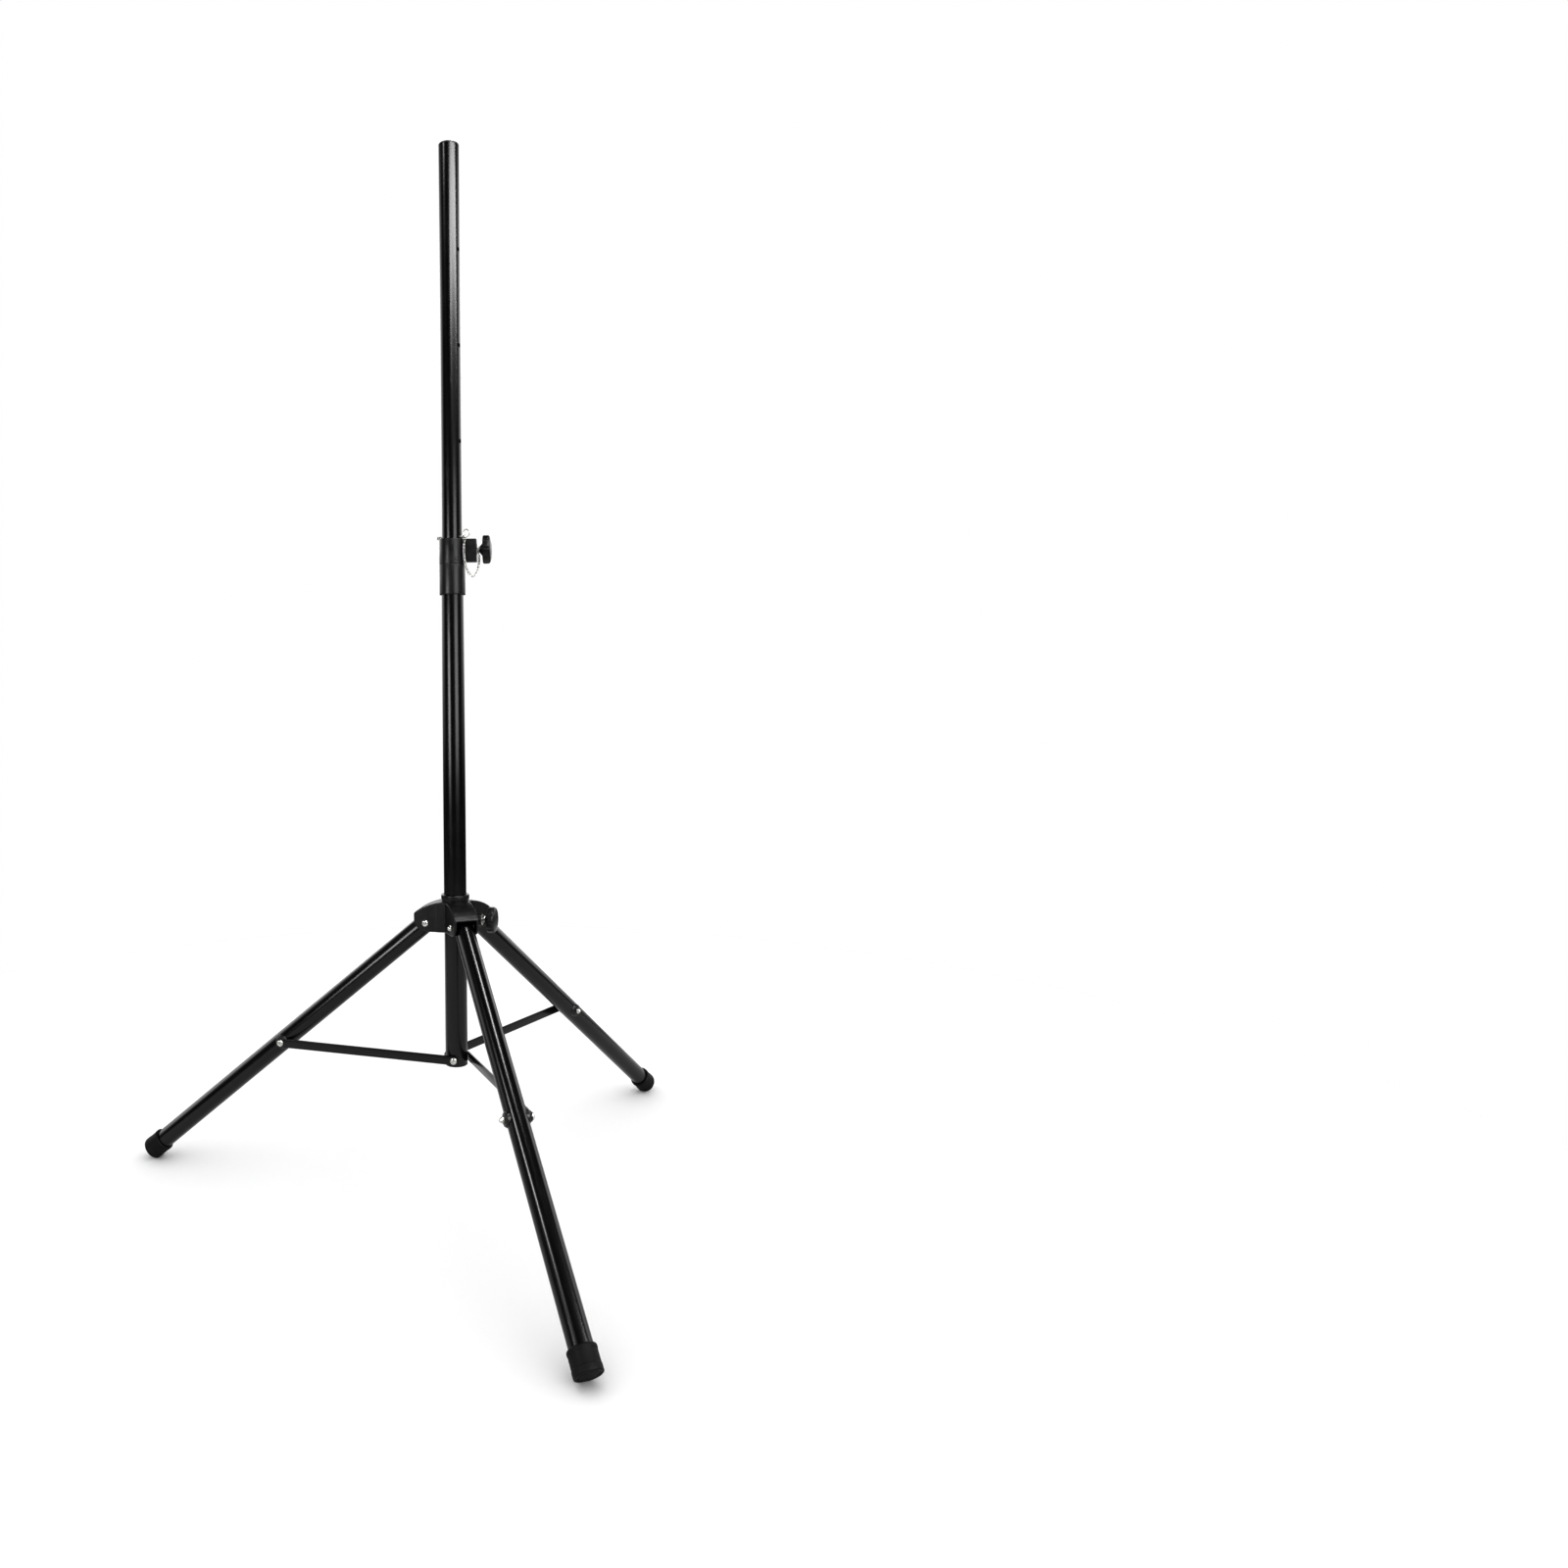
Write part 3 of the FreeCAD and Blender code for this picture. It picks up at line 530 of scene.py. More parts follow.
def collar():
    """The clamp collar: a sleeve with a moulded step, and a boss for the screw."""
    low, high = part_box("pole_collar")
    r, bore = COLLAR_RADIUS, 17.85 * MM
    step = low.z + 51.0 * MM
    socket = TUBE_RADIUS + 0.05 * MM
    tube_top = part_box("outer_tube")[1].z
    profile = [(socket, low.z), (r, low.z), (r, step), (r - 0.5 * MM, step + 0.3 * MM),
               (r - 0.5 * MM, step + 1.1 * MM), (r, step + 1.4 * MM), (r, high.z),
               (bore, high.z), (bore, tube_top), (socket, tube_top)]
    easing = [0.3 * MM, 1.4 * MM, 0.2 * MM, 0.2 * MM, 0.2 * MM, 0.2 * MM, 1.0 * MM, 0.6 * MM,
              0.1 * MM, 0.1 * MM]
    sleeve = lathe("pole_collar_body", profile, Matrix.Identity(4), rounding=easing)

    screw_axis = Vector(JOINTS["pole_clamp_turn"]["axis"])
    azimuth = math.atan2(screw_axis.y, screw_axis.x)
    height = JOINTS["pole_clamp_turn"]["pos_m"][2]
    boss_low, boss_high = height - 20.5 * MM, high.z - 0.3 * MM
    reach, half = 42.5 * MM, 11.0 * MM
    start = 19.6 * MM
    corners = [(start, -half), (reach - 1.0 * MM, -half), (reach, -half + 2.0 * MM),
               (reach, half - 2.0 * MM), (reach - 1.0 * MM, half), (start, half)]
    soft = round_corners(corners, [0, 6 * MM, 4 * MM, 4 * MM, 6 * MM, 0], 6)
    turned = Matrix.Rotation(azimuth, 4, "Z") @ Matrix.Rotation(math.radians(-90), 4, "X")
    block = plate_bmesh(soft, -boss_high, -boss_low, 1.3 * MM, 4)
    boss = finish_mesh("boss", block, turned)
    core = drill(bore, 400 * MM, Matrix.Translation((0, 0, height)))
    inner = drill(socket, 2 * (tube_top - low.z), Matrix.Translation((0, 0, low.z)))
    boolean(sleeve, [boss], "UNION")
    boolean(sleeve, [core, inner], "DIFFERENCE")
    pad_way = drill(PAD_BORE, 60 * MM, clamp_frame("pole_clamp_turn", 40 * MM))
    screw_way = drill(SCREW_BORE, 44 * MM, clamp_frame("pole_clamp_turn", reach + 10 * MM))
    boolean(sleeve, [pad_way, screw_way], "DIFFERENCE")
    dress(smooth_shaded(sleeve, 30), "stand_tube", PLASTIC, "black_plastic", "pole_collar")

    toward = math.radians(-69.0)
    out = Vector((math.cos(toward), math.sin(toward), 0))
    rivet_base = axes(out * (COLLAR_RADIUS - 0.2 * MM) + UP * (low.z + 60.0 * MM), out, UP)
    profile = [(0, -4 * MM), (1.6 * MM, -4 * MM), (1.6 * MM, 0), (2.8 * MM, 0),
               (2.8 * MM, 0.7 * MM), (1.9 * MM, 1.3 * MM), (0, 1.45 * MM)]
    rivet = lathe("collar_rivet_head", profile, rivet_base, rounding=0.3 * MM, segments=40)
    dress(rivet, "stand_tube", PAINT, "black_paint", "collar_rivet")


# ---------------------------------------------------------------- clamps

def insert(name, node, body, joint, face):
    """The flanged threaded insert that the clamp screw runs in."""
    profile = [(4.05 * MM, -12 * MM), (6 * MM, -12 * MM), (6 * MM, 0), (9 * MM, 0),
               (9 * MM, 1.5 * MM), (5.2 * MM, 1.5 * MM), (4.05 * MM, 0.6 * MM)]
    piece = lathe(name, profile, clamp_frame(joint, face),
                  rounding=[0, 0, 0, 0.3 * MM, 0.6 * MM, 0.2 * MM, 0], segments=64)
    dress(piece, body, NICKEL, "nickel", node)


def screw_bmesh(start, end, tip_start, radius, depth, pitch):
    """A threaded rod along Z: a grid whose radius follows the helix."""
    around, per_turn = 40, 10
    rows = int((end - start) / pitch * per_turn)

    def rod_radius(height, angle):
        phase = (height / pitch - angle / (2 * math.pi)) % 1.0
        fade = min(1.0, max(0.0, (height - start) / pitch))
        return radius - depth * fade * min(1.0, 1.6 * abs(2 * phase - 1.0))

    bm = bmesh.new()
    rings = []
    for height, plain in [(tip_start, 2 * MM), (start - 0.05 * MM, 2 * MM)]:
        rings.append([bm.verts.new((plain * math.cos(a), plain * math.sin(a), height))
                      for a in (2 * math.pi * i / around for i in range(around))])
    for row in range(rows + 1):
        height = start + (end - start) * row / rows
        ring = []
        for step in range(around):
            angle = 2 * math.pi * step / around
            r = rod_radius(height, angle)
            ring.append(bm.verts.new((r * math.cos(angle), r * math.sin(angle), height)))
        rings.append(ring)
    for first, second in zip(rings, rings[1:]):
        for step in range(around):
            following = (step + 1) % around
            bm.faces.new((first[step], first[following], second[following], second[step]))
    bm.faces.new(list(reversed(rings[0])))
    bm.faces.new(rings[-1])
    return bm


def knob_profile(radius):
    """The outline of a knob: cone neck, flat back, crowned face with a centre plug."""
    thick, neck = 20.5 * MM, 6.0 * MM
    crown = thick + 0.8 * MM
    return [(4 * MM, 0), (5 * MM, 0), (12 * MM, neck), (radius - 1.0 * MM, neck),
            (radius, neck + 1.0 * MM), (radius, thick - 4.5 * MM),
            (radius - 2.5 * MM, thick - 2.0 * MM), (radius - 9 * MM, thick - 0.3 * MM),
            (9.0 * MM, crown - 0.45 * MM), (8.7 * MM, crown - 1.0 * MM),
            (8.1 * MM, crown - 1.0 * MM), (7.8 * MM, crown - 0.35 * MM), (0, crown),
            (0, KNOB_SOCKET), (4 * MM, KNOB_SOCKET)]


def fluted(rim, count, flute, depth):
    """Shapes a turned outline with shallow round flutes in its rim."""
    distance = rim + flute - depth

    def radius_at(radius, height, angle):
        share = 2 * math.pi / count
        delta = (angle + share / 2) % share - share / 2
        across = distance * math.sin(delta)
        limit = radius
        if abs(across) < flute:
            limit = distance * math.cos(delta) - math.sqrt(flute ** 2 - across ** 2)
        soft = 0.35 * MM
        gap = max(0.0, min(1.0, 0.5 + 0.5 * (limit - radius) / soft))
        blended = limit * (1 - gap) + radius * gap - soft * gap * (1 - gap)
        return (blended if radius > 0.6 * rim else radius), height

    return radius_at


def clamp(prefix, joint, body, pressed, face, knob_start, radius):
    insert(prefix + "_flange", prefix + "_insert", body, joint, face)
    base = clamp_frame(joint, 0.0)
    start = pressed + 3.55 * MM
    rod = screw_bmesh(start, knob_start + KNOB_SOCKET, pressed + 1.6 * MM, 4 * MM, 0.55 * MM,
                      1.25 * MM)
    screw = finish_mesh(prefix + "_threaded_rod", rod, base, 40)
    dress(screw, prefix + "_knob", NICKEL, "nickel", prefix + "_screw")

    easing = [0, 0.4 * MM, 1.2 * MM, 0.5 * MM, 0.8 * MM, 2.2 * MM, 3.0 * MM, 3 * MM,
              0.15 * MM, 0.15 * MM, 0.15 * MM, 0.3 * MM, 0, 0, 0]
    outline = round_corners(knob_profile(radius), easing, 5)
    bm = lathe_bmesh(outline, 260, fluted(radius, 10, 4 * MM, 1.1 * MM))
    grip = finish_mesh(prefix + "_grip", bm, clamp_frame(joint, knob_start), 34)
    dress(grip, prefix + "_knob", KNOB_PLASTIC, "black_plastic", prefix + "_knob")


# ---------------------------------------------------------------- fasteners

def cross_recess(matrix, depth=1.6 * MM):
    """Two cutters for a cross-head drive, their open ends at the matrix."""
    half, slot = 2.6 * MM, 0.55 * MM
    wide = [(-half, -slot, 1 * MM), (half, -slot, 1 * MM), (half, slot, 1 * MM),
            (-half, slot, 1 * MM)]
    narrow = [(x * 0.45, y * 0.7, -depth) for x, y, _ in wide]
    cutters = []
    for turn in (0, 90):
        bm = bmesh.new()
        upper = [bm.verts.new(spot) for spot in wide]
        lower = [bm.verts.new(spot) for spot in narrow]
        bm.faces.new(upper)
        bm.faces.new(list(reversed(lower)))
        for i in range(4):
            j = (i + 1) % 4
            bm.faces.new((upper[i], lower[i], lower[j], upper[j]))
        turned = matrix @ Matrix.Rotation(math.radians(turn), 4, "Z")
        cutters.append(finish_mesh("recess", bm, turned))
    return cutters


def pan_head(name, radius, height, shank, length, matrix):
    """A pan-head screw: its bearing face at the matrix, its head along +Z."""
    profile = [(0, -length), (shank - 0.4 * MM, -length), (shank, -length + 0.4 * MM),
               (shank, 0), (radius, 0), (radius, 0.42 * height), (0.72 * radius, 0.9 * height),
               (0, height)]
    easing = [0, 0, 0, 0, 0.25 * MM, 1.3 * MM, 2.0 * MM, 0]
    piece = lathe(name, profile, matrix, rounding=easing, segments=64)
    drive = cross_recess(matrix @ Matrix.Translation((0, 0, height))
                         @ Matrix.Rotation(math.radians(18), 4, "Z"))
    boolean(piece, drive, "DIFFERENCE")
    return smooth_shaded(piece, 34)


def hexed(apothem):
    """Shapes a turned outline to a hexagon wherever it is wider than the flats."""
    def radius_at(radius, height, angle):
        delta = (angle + math.pi / 6) % (math.pi / 3) - math.pi / 6
        return min(radius, apothem / math.cos(delta)), height
    return radius_at


def acorn_nut(name, corner, height, matrix):
    """A domed cap nut: hexagon with chamfered corners, then a ball end."""
    apothem = corner * math.cos(math.pi / 6)
    hex_top = 0.46 * height
    dome = 0.80 * apothem
    profile = [(0, 0), (apothem * 0.98, 0), (corner, 0.5 * MM), (corner, hex_top - 0.5 * MM),
               (apothem * 0.98, hex_top)]
    for step in range(9):
        angle = math.pi / 2 * step / 8
        profile.append((dome * math.cos(angle) if step < 8 else 0.0,
                        hex_top + 0.25 * MM + (height - hex_top - 0.25 * MM) * math.sin(angle)))
    return finish_mesh(name, lathe_bmesh(profile, 72, hexed(apothem)), matrix, 28)


# ---------------------------------------------------------------- hub

HUB_WING = ((18.0, -15.0), (44.0, -15.0), (60.0, -11.0), (68.0, -2.0), (68.5, 16.5),
            (62.0, 21.5), (53.0, 26.5), (42.0, 31.0), (30.0, 34.5), (18.0, 36.0))
HUB_CHANNEL = ((26.0, -20.0), (80.0, -20.0), (80.0, 6.0), (68.5, 13.0), (60.0, 18.5),
               (51.0, 23.4), (41.0, 27.4), (34.0, 28.0), (26.0, 24.0))
HUB_BAND = ((14.0, -15.2), (29.0, -15.2), (29.0, 34.4), (14.0, 35.6))


def hub():
    pivot = JOINTS["leg_fold_1"]["pos_m"][2]
    body = drill(25.5 * MM, 51 * MM, Matrix.Translation((0, 0, pivot + 10.5 * MM)))
    body.name = "hub_body"
    wings, channels = [], []
    for leg in LEGS:
        out = Vector(JOINTS["leg_fold_%d" % leg]["pos_m"])
        turn = Matrix.Rotation(math.atan2(out.y, out.x), 4, "Z")
        turn.translation = Vector((0, 0, pivot))
        for outline, half, edge, kept in ((HUB_WING, 21.0, 0.8, wings),
                                          (HUB_BAND, 21.5, 0.4, wings),
                                          (HUB_CHANNEL, 17.2, 0.8, channels)):
            points = round_corners([(x * MM, z * MM) for x, z in outline], 2.0 * MM, 3)
            plate = plate_bmesh(points, -half * MM, half * MM, edge * MM, 2)
            kept.append(finish_mesh("hub_cutter", plate, turn))
    boss = drill(11 * MM, 47 * MM, clamp_frame("hub_clamp_turn", 23.5 * MM))
    boolean(body, wings + [boss], "UNION")
    boolean(body, channels, "DIFFERENCE")
    moulded(body, 0.75 * MM, 7, 0.22)
    bore = drill(19.35 * MM, 200 * MM, Matrix.Translation((0, 0, pivot)))
    seat = drill(21.35 * MM, 100 * MM, Matrix.Translation((0, 0, pivot + 68 * MM)))
    pad_way = drill(PAD_BORE, 60 * MM, clamp_frame("hub_clamp_turn", 35 * MM))
    screw_way = drill(SCREW_BORE, 60 * MM, clamp_frame("hub_clamp_turn", 58 * MM))
    boolean(body, [bore, seat, pad_way, screw_way], "DIFFERENCE")
    dress(smooth_shaded(body, 42), "hub", HUB_PLASTIC, "black_plastic", "hub_casting")

    bush_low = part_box("hub_neck_bush")[0].z
    profile = [(19.35, 0), (21.35, 0), (21.35, 18), (22.8, 18), (22.8, 21.3), (24, 22),
               (24, 29), (22.5, 30), (20.6, 30), (19.35, 29)]
    bush = lathe("hub_neck_ring", [(r * MM, bush_low + z * MM) for r, z in profile],
                 Matrix.Identity(4), rounding=[0, 0, 0, 0.2 * MM, 0.3 * MM, 0.8 * MM, 0.9 * MM,
                                               0.6 * MM, 0.4 * MM, 0.2 * MM])
    dress(bush, "hub", PLASTIC, "black_plastic", "hub_neck_bush")

    for leg in LEGS:
        base = leg_frame(leg)
        bolt = pan_head("hub_pivot_bolt_%d" % leg, 6 * MM, 4 * MM, 4 * MM, 45 * MM,
                        side_frame(base, CHEEK_OUTSIDE))
        dress(bolt, "hub", NICKEL, "nickel", "hub_pivot_bolts")
        nut = acorn_nut("hub_pivot_nut_%d" % leg, 5.9 * MM, 7 * MM,
                        side_frame(base, CHEEK_OUTSIDE, flip=True))
        dress(nut, "hub", NICKEL, "nickel", "hub_pivot_nuts")


# ---------------------------------------------------------------- legs and braces

def leg(number):
    base = leg_frame(number)
    body = "leg_%d" % number
    overrun = 11.0 * MM
    tube_length = LEG_LENGTH + overrun - 3 * MM
    tube_piece = pipe("leg_shell_%d" % number, LEG_RADIUS, LEG_WALL, tube_length,
                      base @ Matrix.Translation((0, 0, -overrun)))
    dress(tube_piece, body, PAINT, "black_paint", "leg_tube_%d" % number)

    inside = LEG_RADIUS - LEG_WALL
    profile = [(0, -1.5 * MM), (LEG_RADIUS - 1.5 * MM, -1.5 * MM), (LEG_RADIUS, 0),
               (inside, 0), (inside, 26 * MM), (0, 26 * MM)]
    plug = lathe("leg_plug_%d" % number, profile, base @ Matrix.Translation((0, 0, -overrun)),
                 rounding=[0, 0.8 * MM, 0.4 * MM, 0, 0.8 * MM, 0])
    dress(plug, body, PLASTIC, "black_plastic", "leg_top_plug_%d" % number)
    foot(number, base, body)

    along = brace_along_leg()
    outside = BAR_INSIDE + BAR_THICKNESS + 0.15 * MM
    bolt = pan_head("leg_brace_bolt_%d" % number, 6 * MM, 3.8 * MM, 3 * MM, outside + 24 * MM,
                    side_frame(base, outside, along))
    dress(bolt, body, NICKEL, "nickel", "brace_bolt_%d" % number)
    seat = BAR_INSIDE - 0.2 * MM
    nut = acorn_nut("leg_brace_nut_%d" % number, 5.5 * MM, 8 * MM,
                    side_frame(base, seat, along, flip=True))
    dress(nut, body, NICKEL, "nickel", "brace_nut_%d" % number)
    for side, flip in (("near", False), ("far", True)):
        saddle(number, side, side_frame(base, 0.0, along, flip), base, seat, body)


def saddle(number, side, frame_out, base, seat, body):
    """A moulded spacer with its back hollowed to sit on the round leg."""
    profile = [(0, 7.5 * MM), (11.5 * MM, 7.5 * MM), (11.5 * MM, seat - 2.6 * MM),
               (10.4 * MM, seat - 1.9 * MM), (9.6 * MM, seat), (0, seat)]
    piece = lathe("brace_saddle_%d_%s" % (number, side), profile, frame_out,
                  rounding=[0, 0, 0.8 * MM, 0.6 * MM, 0.6 * MM, 0], segments=72)
    hollow = drill(LEG_RADIUS, 60 * MM, base @ Matrix.Translation((0, 0, brace_along_leg())))
    boolean(piece, [hollow], "DIFFERENCE")
    dress(smooth_shaded(piece), body, PLASTIC, "black_plastic", "brace_saddles_%d" % number)


def foot(number, base, body):
    """A rubber cup with a moulded lip and tread groove, pressed flat where it stands."""
    end = LEG_LENGTH
    top = end - FOOT_LENGTH
    r = FOOT_RADIUS
    profile = [(LEG_RADIUS, end - 3 * MM), (LEG_RADIUS, top), (r - 1.5 * MM, top),
               (r, top + 1.5 * MM), (r, top + 5.5 * MM), (r - 0.5 * MM, top + 6.0 * MM),
               (r - 0.5 * MM, end - 9.5 * MM), (r, end - 9.0 * MM), (r, end),
               (15.6 * MM, end), (15.2 * MM, end - 0.9 * MM), (13.9 * MM, end - 0.9 * MM),
               (13.5 * MM, end), (0, end), (0, end - 3 * MM)]
    easing = [0, 0.4 * MM, 0.5 * MM, 0.8 * MM, 0.4 * MM, 0.4 * MM, 0.4 * MM, 0.4 * MM, 3.0 * MM,
              0.3 * MM, 0.3 * MM, 0.3 * MM, 0.3 * MM, 0, 0]
    piece = lathe("foot_rubber_%d" % number, profile, base, rounding=easing)
    back = base.inverted()
    for vertex in piece.data.vertices:
        spot = base @ vertex.co
        if spot.z < 0:
            vertex.co = back @ Vector((spot.x, spot.y, 0.0))
    dress(piece, body, RUBBER, "black_rubber", "foot_cap_%d" % number)


def brace(number):
    base = brace_frame(number)
    body = "brace_%d" % number
    length, half = brace_length(), BAR_WIDTH / 2
    points = []
    for centre, start in ((0.0, 180), (length, 0)):
        for step in range(17):
            angle = math.radians(start + 180 * step / 16)
            points.append((half * math.cos(angle), centre + half * math.sin(angle)))
    bar = finish_mesh("brace_strap_%d" % number,
                      plate_bmesh(points, BAR_INSIDE, BAR_INSIDE + BAR_THICKNESS, 0.7 * MM, 3),
                      base, 40)
    dress(bar, body, PAINT, "black_paint", "brace_bar_%d" % number)
    outside = BAR_INSIDE + BAR_THICKNESS
    head = pan_head("tube_brace_screw_%d" % number, 6 * MM, 3.8 * MM, 3 * MM, BAR_THICKNESS,
                    side_frame(base, outside, length))
    dress(head, body, NICKEL, "nickel", "brace_screw_%d" % number)


# ---------------------------------------------------------------- safety pin and its chain

def circle(centre, across, upward, radius, count=64):
    angles = [2 * math.pi * step / count for step in range(count)]
    return [centre + (across * math.cos(a) + upward * math.sin(a)) * radius for a in angles]


def pin_and_chain():
    axis = pin_axis()
    base = axes(UP * pin_height(), axis, UP)
    r = PIN_RADIUS
    profile = [(0, -29.5 * MM), (r - 0.6 * MM, -29.5 * MM), (r, -28.0 * MM), (r, 27 * MM),
               (0, 27 * MM)]
    pin = lathe("safety_pin_rod", profile, base, rounding=[0, 0.8 * MM, 0.6 * MM, 0.7 * MM, 0],
                segments=56)
    eye_spot = UP * pin_height() + axis * 24 * MM
    side = UP.cross(axis)
    eye = drill(1.3 * MM, 12 * MM, axes(eye_spot, side, UP))
    boolean(pin, [eye], "DIFFERENCE")
    dress(smooth_shaded(pin), "safety_pin", NICKEL, "nickel", "safety_pin_set")

    centre = eye_spot + (axis * 0.62 + UP * 0.78) * PIN_RING_RADIUS
    ring_path = circle(centre, axis, UP, PIN_RING_RADIUS)
    ring = finish_mesh("safety_pin_ring", sweep_bmesh(ring_path, RING_WIRE), Matrix.Identity(4))
    dress(ring, "safety_pin", NICKEL, "nickel", "safety_pin_set")
    chain()

    clamp_base = clamp_frame("pole_clamp_turn", 45.4 * MM) @ Matrix.Translation((0, -1 * MM, 0))
    loop = circle(Vector((0, 0, 0)), Vector((1, 0, 0)), Vector((0, 1, 0)), 6.2 * MM)
    anchor = finish_mesh("chain_anchor_loop", sweep_bmesh(loop, RING_WIRE), clamp_base)
    dress(anchor, "stand_tube", NICKEL, "nickel", "chain_anchor_ring")


CHAIN_ROUTE = ((21.5, -16.5, 17.0), (21.0, -17.5, 8.0), (20.5, -18.0, -6.0),
               (22.5, -17.5, -24.0), (27.5, -14.5, -39.0), (34.5, -11.0, -46.0),
               (41.5, -7.0, -40.0), (45.5, -4.0, -25.0), (46.2, -2.9, -9.6))
LINK_PITCH = 5.2 * MM
LINK_WIRE = 0.7 * MM
HELD_LINKS = 3  # the ones by the knob, which stay put as the pin comes out


def route_points():
    """The chain's hanging line, smoothed through its points and measured along."""
    height = JOINTS["pole_clamp_turn"]["pos_m"][2]
    spots = [Vector((x * MM, y * MM, height + z * MM)) for x, y, z in CHAIN_ROUTE]
    spots = [2 * spots[0] - spots[1]] + spots + [2 * spots[-1] - spots[-2]]
    line = []
    for a, b, c, d in zip(spots, spots[1:], spots[2:], spots[3:]):
        for step in range(24):
            t = step / 24
            line.append(0.5 * (2 * b + (c - a) * t + (2 * a - 5 * b + 4 * c - d) * t ** 2
                               + (3 * b - a - 3 * c + d) * t ** 3))
    line.append(spots[-2])
    return line


def at_distance(line, distance):
    """The point and direction at this distance along a line of points."""
    for first, second in zip(line, line[1:]):
        run = (second - first).length
        if distance <= run:
            return first.lerp(second, distance / run), (second - first).normalized()
        distance -= run
    return line[-1], (line[-1] - line[-2]).normalized()


def link_bmesh():
    """A long oval of wire, along Z."""
    half, bend = LINK_PITCH / 2 + 0.42 * MM, 1.75 * MM
    straight = half - bend + 0.35 * MM
    path = []
    for centre, start in ((straight, -90), (-straight, 90)):
        for step in range(13):
            angle = math.radians(start + 180 * step / 12)
            path.append(Vector((0, bend * math.sin(angle), centre + bend * math.cos(angle))))
    return sweep_bmesh(path, LINK_WIRE)


def chain():
    line = route_points()
    total = sum((b - a).length for a, b in zip(line, line[1:]))
    count = int(total / LINK_PITCH)
    for index in range(count):
        spot, direction = at_distance(line, (index + 0.5) * total / count)
        roll = Matrix.Rotation(math.radians(45 + 90 * (index % 2)), 4, "Z")
        seed = Vector((0, 1, 0))
        side = (seed - direction * seed.dot(direction)).normalized()
        piece = finish_mesh("chain_link_%02d" % (index + 1), link_bmesh(),
                            axes(spot, direction, side) @ roll)
        piece.data.materials.append(NICKEL)
        share = max(0.0, 1 - (index + 0.5) / (count - HELD_LINKS))
        blend_evenly(piece, share)
        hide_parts("safety_pin_set")


def blend_evenly(piece, share):
    """Work out a smoothstep point for the link's share, which is then not used, and bake the
    link's placing into its mesh.
    """
    low, high = 0.0, 1.0
    for halving in range(40):
        middle = (low + high) / 2
        low, high = (middle, high) if middle ** 2 * (3 - 2 * middle) < share else (low, middle)
    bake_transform(piece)


# ---------------------------------------------------------------- build

pole()
tube()
collar()
clamp("pole_clamp", "pole_clamp_turn", "stand_tube", POLE_RADIUS, 42.5 * MM, 47.0 * MM,
      24.0 * MM)
hub()
clamp("hub_clamp", "hub_clamp_turn", "hub", TUBE_RADIUS, 47.0 * MM, 52.5 * MM, 22.0 * MM)
for number in LEGS:
    leg(number)
    brace(number)
pin_and_chain()

for name, material, slot in (("brace_pivot_studs", NICKEL, "nickel"),
                             ("pole_clamp_pad", NYLON, "pad_nylon"),
                             ("hub_clamp_pad", NYLON, "pad_nylon")):
    shown = frame["nodes"][name]
    shown.data.materials.clear()
    shown.data.materials.append(material)


# ---------------------------------------------------------------- floor, light, camera

def floor():
    bm = bmesh.new()
    bmesh.ops.create_circle(bm, cap_ends=True, radius=2.0, segments=96)
    piece = finish_mesh("studio_floor", bm, Matrix.Translation((0, 0, -0.0005)))
    piece.data.materials.append(floor_material())


def panel(name, spot, target, across, along, power, lie=UP):
    """A soft box that the tubes mirror as a streak. Its long side lies along a direction.

    It is left out of the matte floor's light, so the floor stays an even white.
    """
    data = bpy.data.lights.new(name, "AREA")
    data.shape = "RECTANGLE"
    data.size, data.size_y = across, along
    data.energy = power
    lamp = bpy.data.objects.new(name, data)
    bpy.context.scene.collection.objects.link(lamp)
    back = (Vector(spot) - Vector(target)).normalized()
    lamp.matrix_world = axes(spot, back, lie - back * back.dot(lie))
    lamp.visible_diffuse = False


def between(tree, content, low, high):
    """0 at low (or on its side) and 1 at high, with an even blend in between."""
    made = add(tree, "ShaderNodeMapRange", Value=content, From_Min=low, From_Max=high)
    return made.outputs["Result"]


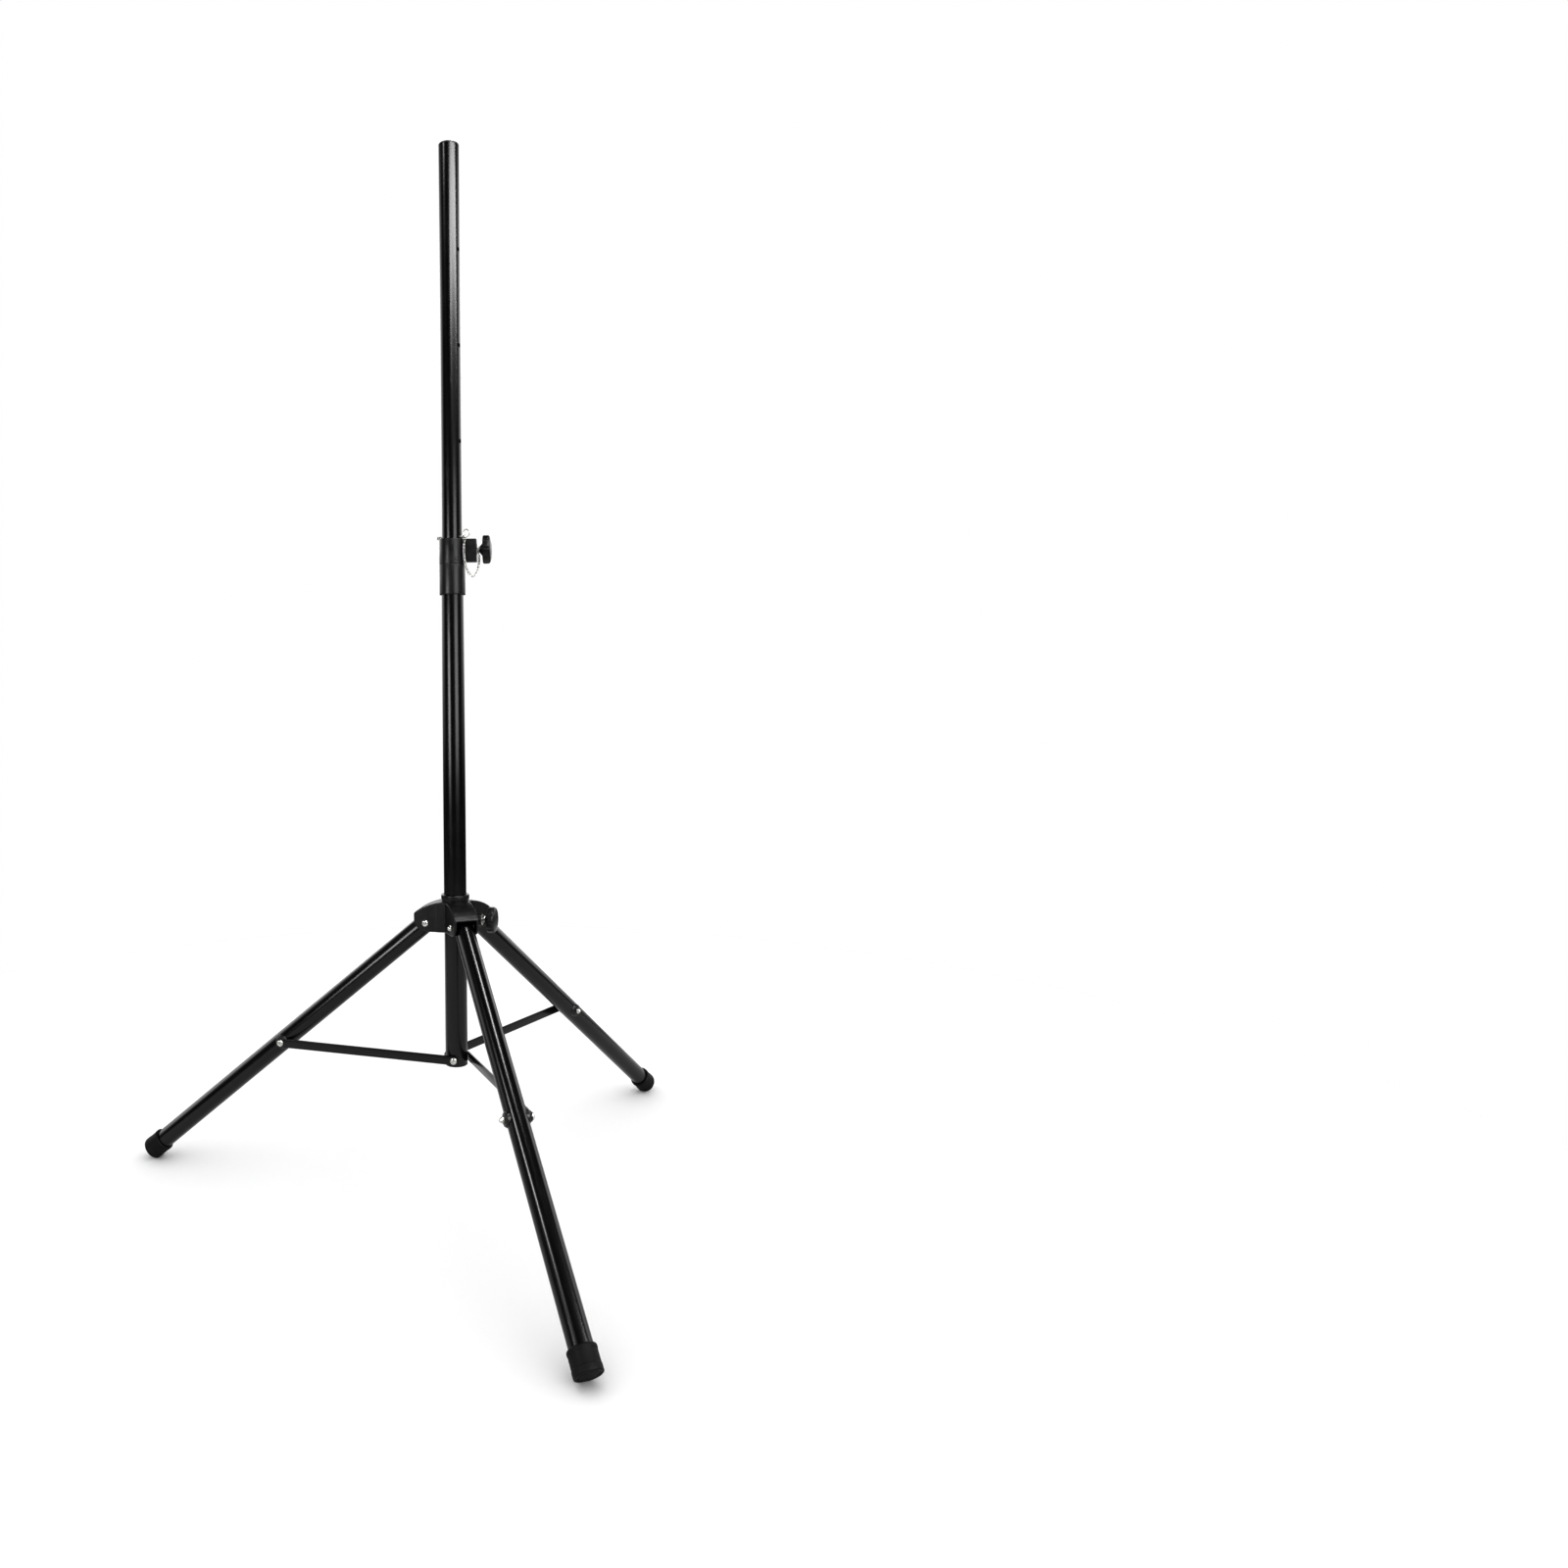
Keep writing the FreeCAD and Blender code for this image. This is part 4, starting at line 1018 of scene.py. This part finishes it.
def studio_world(seen, cast, front, back):
    """A white room, mirrored as a bright wall behind the stand and dark in front of it."""
    world = bpy.data.worlds.new("studio")
    bpy.context.scene.world = world
    world.use_nodes = True
    tree = world.node_tree
    path = add(tree, "ShaderNodeLightPath")
    background = tree.nodes["Background"]
    background.inputs["Color"].default_value = (1, 1, 1, 1)
    toward = add(tree, "ShaderNodeSeparateXYZ",
                 Vector=add(tree, "ShaderNodeTexCoord").outputs["Generated"])
    behind = between(tree, toward.outputs["Y"], -0.05, 0.35)
    above = between(tree, toward.outputs["Z"], -0.08, 0.16)
    wall = product(tree, product(tree, behind, above),
                   between(tree, toward.outputs["Z"], 0.54, 0.36))
    mirrored = add(tree, "ShaderNodeMix", Factor=wall, A=front, B=back)
    lit = add(tree, "ShaderNodeMix", Factor=path.outputs["Is Glossy Ray"], A=cast,
              B=mirrored.outputs["Result"])
    level = add(tree, "ShaderNodeMix", Factor=path.outputs["Is Camera Ray"],
                A=lit.outputs["Result"], B=seen)
    tree.links.new(level.outputs["Result"], background.inputs["Strength"])


def camera():
    data = bpy.data.cameras.new("camera")
    data.sensor_width = 36.0
    data.lens = 24.77
    data.shift_x, data.shift_y = 0.1855, -0.0542
    data.clip_start, data.clip_end = 0.05, 100.0
    pitch, roll = math.radians(0.49), math.radians(-0.49)
    forward = Vector((0, math.cos(pitch), -math.sin(pitch)))
    right = Vector((1, 0, 0))
    up = right.cross(forward)
    turned_right = right * math.cos(roll) + up * math.sin(roll)
    turned_up = up * math.cos(roll) - right * math.sin(roll)
    matrix = Matrix((turned_right, turned_up, -forward)).transposed().to_4x4()
    matrix.translation = Vector((0.06806, -1.85145, 0.84888))
    piece = bpy.data.objects.new("camera", data)
    bpy.context.scene.collection.objects.link(piece)
    piece.matrix_world = matrix
    bpy.context.scene.camera = piece


floor()
studio_world(seen=1.0, cast=1.35, front=0.04, back=2.8)
panel("high_right", (5.4, -5.9, 6.4), (0, 0, 1.7), 13.0, 2.4, 1700)
panel("strip_left", (-1.9, -2.12, 0.98), (0, 0, 0.9), 1.1, 0.85, 36)
panel("strip_right", (1.56, -2.14, 1.1), (0, 0, 0.9), 1.6, 1.0, 34)
panel("overhead_left", (-13.2, -6.8, 14.15), (0.2, -0.5, 0.2), 3.2, 4.8, 1150,
      lie=Vector((0, 1, 0)))
panel("overhead_right", (0.45, -0.2, 3.0), (0.05, -0.15, 0.4), 0.45, 1.0, 34,
      lie=Vector((0, 1, 0)))
grading = bpy.context.scene.view_settings
grading.view_transform = "Standard"
grading.gamma = 0.72
camera()
